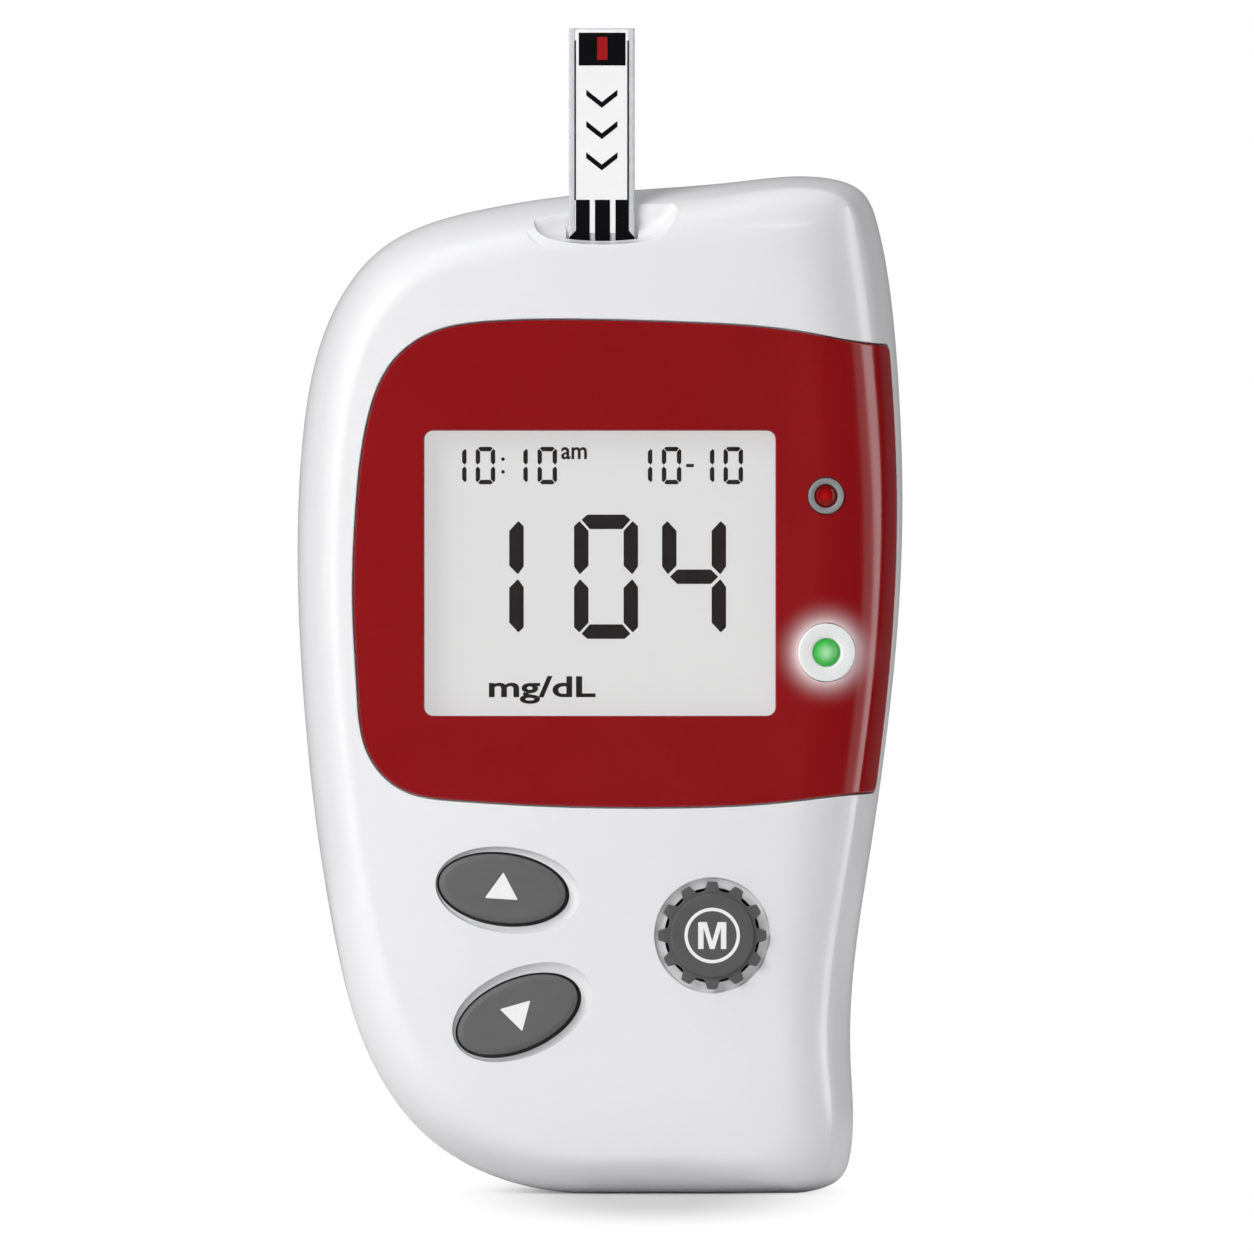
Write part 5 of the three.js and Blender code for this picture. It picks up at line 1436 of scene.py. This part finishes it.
# A lamp's bezel and lens, turned on the lamp's axis. Rows are (radius, depth under the skin). The lens's
# dome is a quarter of an ellipse.
def lampPieces(name, spec):
    bezel, lens = spec["bezel"], spec["lens"]
    seat = lens + 0.05
    origin, inward, ring = lampRing(spec)

    def turned(profile):
        return [origin + ring * radius + inward * depth for radius, depth in profile]

    # the bezel's section, wrapped round: proud flat ring, soft outer edge, dished inner edge
    piece = wrappedForm(f"{name}_bezel_ring", turned([
        (bezel, 1.6), (bezel, 0.02), (bezel - 0.03, -0.05), (bezel - 0.1, -0.09), (bezel - 0.2, -0.1),
        (seat + 0.32, -0.09), (seat + 0.14, -0.04), (seat + 0.03, 0.08), (seat, 0.25), (seat, 1.6)]))
    shade(piece)
    place(piece, f"{name}_lamp_bezel", f"{name}Bezel")
    dome = np.radians(np.linspace(4, 90, 18))
    profile = [(lens * math.sin(a), 0.22 - 0.45 * math.cos(a)) for a in dome] + [(lens, 2.2)]
    piece = closedForm(f"{name}_lens_dome", turned(profile), origin + inward * profile[0][1],
                       origin + inward * profile[-1][1])
    shade(piece)
    place(piece, f"{name}_lamp_lens", f"{name}Lens")


stripPiece = {
    "low": 78.15, "high": 108.15, "rail": 0.55, "railRound": 0.16,
    "inkY": (-7.975, -7.93),
    "block": (-1.97, 2.37, 104.68, 107.72),
    "mark": (-0.26, 0.70, 105.20, 107.32),
    "bars": [(-2.24, -0.95), (-0.47, 0.93), (1.43, 2.67)],
    "barZ": (88.42, 92.24),
    "flareZ": (88.42, 89.38),
    "lines": (-2.30, 2.60),
    "lineWidth": 0.15,
    "lineZ": (92.2, 107.0),
    "chevronZ": (101.9, 99.0, 96.1),
    "chevron": (1.45, 1.15, 0.55),
    "bedDrop": 0.12,
    "filmLow": 89.15,
    "filmInset": 0.02,
    "filmShort": 0.14,
    "edge": 0.06,
    "markProud": 0.015,
    "barFlare": 0.35,
}


# The test strip: a base with two rounded rails and a bed between them, a film in the bed, and its print
def stripPieces():
    s = stripPiece
    x = strip["x"]
    half = strip["width"] / 2
    front, back = strip["frontY"], strip["backY"]
    bed = front + s["bedDrop"]
    inner = half - s["rail"]
    edge = s["edge"]
    r = s["railRound"]
    # half of the section across the strip, from the outside of a rail to the bed
    rail = [(-half + r + r * math.cos(t), front + r - r * math.sin(t))
            for t in np.radians(np.linspace(180, 90, 5))]
    rail += [(-inner - 0.05, front), (-inner, front + 0.04), (-inner, bed)]
    section = np.array(rail + [(-px, py) for px, py in rail[::-1]] + [
        (half, back - edge), (half - edge, back), (-half + edge, back), (-half, back - edge)])
    middle = np.array([0, (front + back) / 2])
    rows = []
    for z, shrink in [(s["low"], edge), (s["low"] + edge, 0), (s["high"] - edge, 0), (s["high"], edge)]:
        points = middle + (section - middle) * (1 - shrink / half, 1 - shrink / 0.25 * 0.5)
        rows.append(np.stack([x + points[:, 0], points[:, 1], np.full(len(points), z)], -1))
    base = closedForm("test_strip_base", rows, flatEnds=True)
    shade(base)
    place(base, "test_strip", "stripBase", "strip")
    inset = s["filmInset"]
    corners = rectangleCorners(x - inner + inset, x + inner - inset, s["filmLow"], s["high"] - s["filmShort"])
    film = closedForm("test_strip_label", depthRows(roundedOutline(corners, 0.08, 4), [
        (-inset, front), (0, front + inset), (0, bed - 0.001)]))
    shade(film)
    place(film, "test_strip_film", "stripFilm", "strip")
    inkFront, inkBack = s["inkY"]

    def ink(name, corners, finish="stripInk", reach=0.03, frontY=inkFront):
        inkForm(f"strip_{name}", roundedOutline(corners, reach, 3), frontY, inkBack, "strip", finish)

    ink("block", rectangleCorners(*s["block"]))
    ink("mark", rectangleCorners(*s["mark"]), "stripRed", frontY=inkFront - s["markProud"])
    z0, z1 = s["barZ"]
    flare0, flare1 = s["flareZ"]
    flare0 += s["barFlare"]
    outer = half - inset
    (l0, l1), (m0, m1), (r0, r1) = s["bars"]
    ink("bar_left", [(x - outer, z0), (l1, z0), (l1, z1), (l0, z1), (l0, flare1), (x - outer, flare0)])
    ink("bar_middle", rectangleCorners(m0, m1, z0, z1))
    ink("bar_right", [(r0, z0), (x + outer, z0), (x + outer, flare0), (r1, flare1), (r1, z1), (r0, z1)])
    for side, lineX in zip(("left", "right"), s["lines"]):
        reach = s["lineWidth"] / 2
        ink(f"line_{side}", rectangleCorners(lineX - reach, lineX + reach, *s["lineZ"]),
            reach=0.02)
    reach, fall, stroke = s["chevron"]
    for number, z in enumerate(s["chevronZ"]):
        ink(f"chevron_{number}", [(x - reach, z), (x, z - fall), (x + reach, z), (x + reach, z + stroke),
                                  (x, z - fall + stroke), (x - reach, z + stroke)])


screwSpec = {
    "height": 1.3, "seatY": rear["seatY"], "length": 8.0, "core": 0.66, "crest": 0.9, "pitch": 0.75,
    "cross": (0.5, 2.3, 0.6),
    "head": [(1.75, 0), (1.8, 0.08), (1.8, 0.85), (1.74, 1.06), (1.58, 1.21), (1.3, 1.29), (0.6, 1.3)],
}
cell = {
    "length": 43.5, "nubHeight": 1.0, "y": 4.05, "x": 5.35, "z": 44.84,
    # sections from the base upward, as (radius, height)
    "can": [(1.2, 0.12), (3.6, 0.12), (4.0, 0.0), (4.55, 0.0), (4.8, 0.12), (5.08, 0.5), (5.08, 43.0),
            (4.8, 43.3), (4.5, 43.32), (2.4, 43.32), (2.1, 43.5), (1.9, 43.6), (1.9, 44.3), (1.75, 44.46),
            (1.4, 44.5)],
    "sleeve": [(4.45, 0.02), (4.75, 0.02), (5.0, 0.16), (5.15, 0.42), (5.2, 0.7), (5.2, 42.8), (5.15, 43.1),
               (5.0, 43.35), (4.7, 43.5), (4.3, 43.5), (4.3, 43.4), (4.8, 43.38), (5.06, 43.0), (5.1, 42.8),
               (5.1, 0.7), (4.95, 0.32), (4.45, 0.12)],
}
spring = {"wire": 0.25, "wide": 3.0, "narrow": 2.1, "turns": 3, "length": 2.0,
          "lowerZ": 20.175, "upperZ": 69.505}


# A self-tapping screw. Its shank's radius is core plus the height of a thread that rises as the angle
# less the way along divided by the pitch goes round; the tip tapers as the square root of the way left.
def screwPiece(number, spot):
    count = 40
    angle = roundTurn(count)
    along = np.linspace(0, screwSpec["length"], 96)[:, None]
    phase = (along / screwSpec["pitch"] - angle[None] / (2 * math.pi)) % 1
    height = np.clip(1 - np.abs(phase - 0.5) / 0.28, 0, 1)
    taper = np.sqrt(np.clip((along + 0.08) / 1.6, 0, 1))
    radius = (screwSpec["core"] + (screwSpec["crest"] - screwSpec["core"]) * height) * taper
    seatY = screwSpec["seatY"]
    shank = np.stack([spot[0] + radius * np.cos(angle), seatY - screwSpec["length"] + along + 0 * angle,
                      spot[1] + radius * np.sin(angle)], -1)
    head = [circleRow(spot, radius, seatY + depth, count) for radius, depth in screwSpec["head"]]
    piece = closedForm(f"screw_{number}_turned", np.concatenate([shank, head]))
    wide, long, deep = screwSpec["cross"]
    topY = seatY + screwSpec["height"]
    for across, up in ((wide, long), (long, wide)):
        a, b = across / 2, up / 2
        loop = np.array(rectangleCorners(-a, a, -b, b)) + spot
        rows = [np.insert(spot + (loop - spot) * scale, 1, y, axis=1)
                for scale, y in ((1.0, topY + 0.2), (1.0, topY - 0.05), (0.62, topY - deep))]
        carve(piece, [closedForm("cross", rows, cut=1)])
    shade(piece, 40)
    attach(piece, "meter")
    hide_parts(f"case_screw_{number}")
    piece.data.materials.append(finishes["nickel"])  # it stands second, after an empty one from the cut


# A cell: a nickel can with a crimped base and a nub, and a printed sleeve with lips shrunk over its ends.
# It stands the other way up where flip is -1.
def cellPiece(side, x, flip):
    half = (cell["length"] + cell["nubHeight"]) / 2
    angle = roundTurn(72)

    def layers(profile):
        return np.array([np.stack([
            x + radius * np.cos(angle), cell["y"] + radius * np.sin(angle),
            np.full(len(angle), cell["z"] + flip * (height - half))], -1) for radius, height in profile])

    can = closedForm(f"cell_{side}_can", layers(cell["can"]))
    shade(can)
    place(can, f"cell_{side}", "nickel")
    sleeve = wrappedForm(f"cell_{side}_sleeve", layers(cell["sleeve"]))
    shade(sleeve)
    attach(sleeve, "meter")
    sleeve.data.materials.append(finishes["sleeve"])


# A cone spring: a round wire carried along a helix whose radius shrinks as it rises. The first and last
# half turns lie nearly flat, as wound ends do.
def springPiece(name, x, baseZ, up):
    turns = spring["turns"]
    t = np.linspace(0, 1, turns * 48)
    turn = 2 * math.pi * turns * t
    radius = spring["wide"] + (spring["narrow"] - spring["wide"]) * t
    climb = spring["length"] - 2 * spring["wire"]
    rise = climb * np.clip((t - 0.08) / 0.84, 0, 1)
    path = np.stack([x + radius * np.cos(turn), cell["y"] + up * radius * np.sin(turn),
                     baseZ + up * (spring["wire"] + rise)], -1)
    along = np.gradient(path, axis=0)
    along /= np.linalg.norm(along, axis=1)[:, None]
    outward = np.stack([np.cos(turn), up * np.sin(turn), np.zeros(len(t))], -1)
    third = np.cross(along, outward)
    angle = roundTurn(12)
    rows = path[:, None] + spring["wire"] * (
        np.cos(angle)[None, :, None] * outward[:, None] + np.sin(angle)[None, :, None] * third[:, None])
    coil = closedForm(f"{name}_coil", rows, path[0], path[-1])
    shade(coil, 50)
    place(coil, name, "nickel")


finishes.update(plate=redPlate(), pane=clearPane(), board=circuitBoard(), silicone=layeredSilicone(),
                sleeve=printedSleeve())

frontShell()
facePlate()
print("front shell and faceplate")
rearShell()
batteryCover()
print("rear shell and cover")
inkProud = 0.018
inkSunk = 0.05
arrowProud = 0.012
arrowSunk = 0.12
for name, spec in keys.items():
    keyCap(name, spec)
    inkForm(f"{name}_key_arrow", roundedOutline(spec["arrow"], 0.13, 5), buttonTopY - arrowProud,
            buttonTopY + arrowSunk, f"{name}_key", "keyInk")
memoryCog()
cogPlace = placeOf(cog["shares"])
ringInk = ringForm("memory_key_ring", cogPlace, cog["ringOuter"], cog["ringInner"],
                   buttonTopY - inkProud, buttonTopY + inkSunk)
shade(ringInk)
ringInk.data.materials.append(finishes["keyInk"])
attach(ringInk, "memory_key")
letterShares = np.array([
    (0, 0), (0.195, 0), (0.195, 0.78), (0.415, 0), (0.585, 0), (0.805, 0.78), (0.805, 0), (1, 0), (1, 1),
    (0.695, 1), (0.5, 0.29), (0.305, 1), (0, 1)])
inkForm("memory_key_letter", roundedOutline(cogPlace + (letterShares - 0.5) * cog["letter"], 0.03, 3),
        buttonTopY - inkProud, buttonTopY + inkSunk, "memory_key", "keyInk")
print("keys")
displayPieces()
print("display")
for name, spec in lampSpecs.items():
    lampPieces(name, spec)
stripPieces()
for number, spot in enumerate(rear["posts"]):
    screwPiece(number + 1, spot)
cellPiece("left", -cell["x"], 1)
cellPiece("right", cell["x"], -1)
springPiece("cell_spring_lower", -cell["x"], spring["lowerZ"], 1)
springPiece("cell_spring_upper", cell["x"], spring["upperZ"], -1)
print("lamps, strip, screws, cells and springs")

# pieces that are used as they come from model.glb, and what they are made of
carried = {
    "lcd_holder": "whiteMoulding", "lcd_connector_lower": "silicone", "lcd_connector_upper": "silicone",
    "main_board": "board", "strip_port": "blackMoulding", "contact_bridge": "nickel",
    "contact_negative": "nickel", "contact_positive": "nickel", "microcontroller": "blackMoulding",
    "measuring_amplifier": "blackMoulding", "memory_chip": "blackMoulding", "crystal": "nickel",
    "buzzer": "blackMoulding", "red_lamp_body": "redLens", "green_lamp_body": "greenLens",
}
carried.update({f"port_contact_{side}": "gold" for side in ("left", "middle", "right")})
carried.update({f"{name}_switch": "blackMoulding" for name in ("up", "down", "memory")})
carried.update({f"{name}_switch_plunger": "greyMoulding" for name in ("up", "down", "memory")})
for node, finish in carried.items():
    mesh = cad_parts[node].data
    mesh.materials.clear()
    mesh.materials.append(finishes[finish])

view = {"aim": (2.504, -7.0, 52.62), "distance": 2500.0, "elevation": 1.0, "frameWidth": 116.3}
cameraData = bpy.data.cameras.new("camera")
camera = bpy.data.objects.new("camera", cameraData)
workCollection.objects.link(camera)
rise = math.radians(view["elevation"])
camera.location = [c * metresPerMm for c in (
    view["aim"][0], view["aim"][1] - view["distance"] * math.cos(rise),
    view["aim"][2] + view["distance"] * math.sin(rise))]
camera.rotation_euler = (math.pi / 2 - rise, 0, 0)
cameraData.lens = cameraData.sensor_width * view["distance"] / view["frameWidth"]
cameraData.clip_start = 0.1
cameraData.clip_end = 20
scene.camera = camera
scene.view_settings.view_transform = "Standard"

# size in metres; the rest in millimetres, and the reach along x and y at which the floor begins to clear
floor = {"size": 0.36, "centre": (5.0, -8.0), "reach": (4.4, 19.0), "clearTo": 4.4, "colour": "#e4e4e4"}


# Close to the object the floor is matt and keeps its shadow. Further off it turns to the plain white of
# the backdrop: the share is a smooth step over the distance from the object's foot, in an ellipse.
def makeFloor():
    half = floor["size"] / 2
    mesh = bpy.data.meshes.new("floor")
    mesh.from_pydata([(x, y, 0) for x, y in rectangleCorners(-half, half, -half, half)], [], [(0, 1, 2, 3)])
    piece = bpy.data.objects.new("floor", mesh)
    workCollection.objects.link(piece)
    material = bpy.data.materials.new("paper_matt_white")
    material.use_nodes = True
    tree = material.node_tree
    tree.nodes.remove(tree.nodes["Principled BSDF"])
    spots = addNode(tree, "ShaderNodeTexCoord").outputs["Object"]
    spread = [1 / (reach * metresPerMm) for reach in floor["reach"]]
    scaled = addNode(tree, "ShaderNodeMapping", None, {
        "Vector": spots, "Scale": (*spread, 1.0),
        "Location": tuple(-c * metresPerMm * k for c, k in zip(floor["centre"], spread)) + (0.0,)})
    away = addNode(tree, "ShaderNodeVectorMath", {"operation": "LENGTH"}, {0: scaled.outputs[0]})
    clear = addNode(tree, *smoothRange, {0: away.outputs["Value"], 1: 1.0, 2: floor["clearTo"]})
    rays = addNode(tree, "ShaderNodeLightPath")
    share = addNode(tree, "ShaderNodeMath", {"operation": "MULTIPLY"}, {
        0: clear.outputs[0], 1: rays.outputs["Is Camera Ray"]})
    matt = addNode(tree, "ShaderNodeBsdfDiffuse", None, {"Color": linear(floor["colour"])})
    white = addNode(tree, "ShaderNodeEmission", None, {"Color": (1, 1, 1, 1), "Strength": 1.0})
    blend = addNode(tree, "ShaderNodeMixShader", None, {
        0: share.outputs[0], 1: matt.outputs[0], 2: white.outputs[0]})
    tree.links.new(blend.outputs[0], tree.nodes["Material Output"].inputs["Surface"])
    mesh.materials.append(material)


makeFloor()

# White to the camera. Gloss and clear surfaces see a dim room that grows paler toward the back, between two
# values of the direction's Y, and matt ones an even low light.
sky = {"fromY": 0.3, "toY": 1.0, "front": 0.05, "back": 0.16, "matt": 0.18}
world = bpy.data.worlds.new("studio")
scene.world = world
world.use_nodes = True
tree = world.node_tree
rays = addNode(tree, "ShaderNodeLightPath")
directions = addNode(tree, "ShaderNodeTexCoord")
parts = addNode(tree, "ShaderNodeSeparateXYZ", None, {0: directions.outputs["Generated"]})
mirrored = addNode(tree, *smoothRange, {
    0: parts.outputs["Y"], 1: sky["fromY"], 2: sky["toY"], 3: sky["front"], 4: sky["back"]})
reflecting = addNode(tree, "ShaderNodeMath", {"operation": "MAXIMUM"}, {
    0: rays.outputs["Is Glossy Ray"], 1: rays.outputs["Is Transmission Ray"]})
lit = addNode(tree, "ShaderNodeMix", {"data_type": "FLOAT"}, {
    0: reflecting.outputs[0], 2: sky["matt"], 3: mirrored.outputs[0]})
strength = addNode(tree, "ShaderNodeMix", {"data_type": "FLOAT"}, {
    0: rays.outputs["Is Camera Ray"], 2: lit.outputs[0], 3: 1.0})
tree.nodes["Background"].inputs["Color"].default_value = (1, 1, 1, 1)
tree.links.new(strength.outputs[0], tree.nodes["Background"].inputs["Strength"])

# place and aim (m), size across and up (m), power (W), and whether matt and gloss surfaces take its light
lamps = {
    "softboxLeft": ((-0.254, -0.258, 0.243), (0, 0, 0.05), (0.24, 0.3), 1.3, True, False),
    "cardFront": ((0.1, -1.3, 0.02), (0, 0, 0.03), (0.8, 0.2), 2.8, True, False),
    "cardRight": ((0.95, 0.4, 0.15), (0, 0, 0.05), (0.3, 0.6), 2.8, True, False),
    "sheenLeft": ((-0.62, -0.33, 0.25), (0, 0, 0.05), (0.45, 0.8), 0.95, False, True),
    "stripRight": ((0.635, -0.28, 0.06), (0.01, 0, 0.06), (0.12, 1.1), 1.9, False, True),
    "stripRightSoft": ((0.58, -0.38, 0.06), (0.01, 0, 0.06), (0.1, 1.1), 0.3, False, True),
    "stripTop": ((0.16, -0.64, 0.5), (0.02, 0, 0.088), (0.3, 0.035), 0.14, False, True),
    "softboxTop": ((0.0, -0.05, 0.9), (0, 0, 0.05), (0.8, 0.5), 1.2, True, True),
    "softboxBehind": ((0.1, 0.9, 0.75), (0, 0, 0.05), (0.8, 0.8), 3.5, True, False),
}
for name, (spot, aim, size, power, matt, gloss) in lamps.items():
    data = bpy.data.lights.new(name, "AREA")
    data.shape = "RECTANGLE"
    data.size, data.size_y = size
    data.energy = power
    lamp = bpy.data.objects.new(name, data)
    workCollection.objects.link(lamp)
    lamp.location = spot
    lamp.visible_diffuse = matt
    lamp.visible_glossy = gloss
    direction = Vector(aim) - Vector(spot)
    lamp.rotation_mode = "QUATERNION"
    lamp.rotation_quaternion = direction.to_track_quat("-Z", "Y")
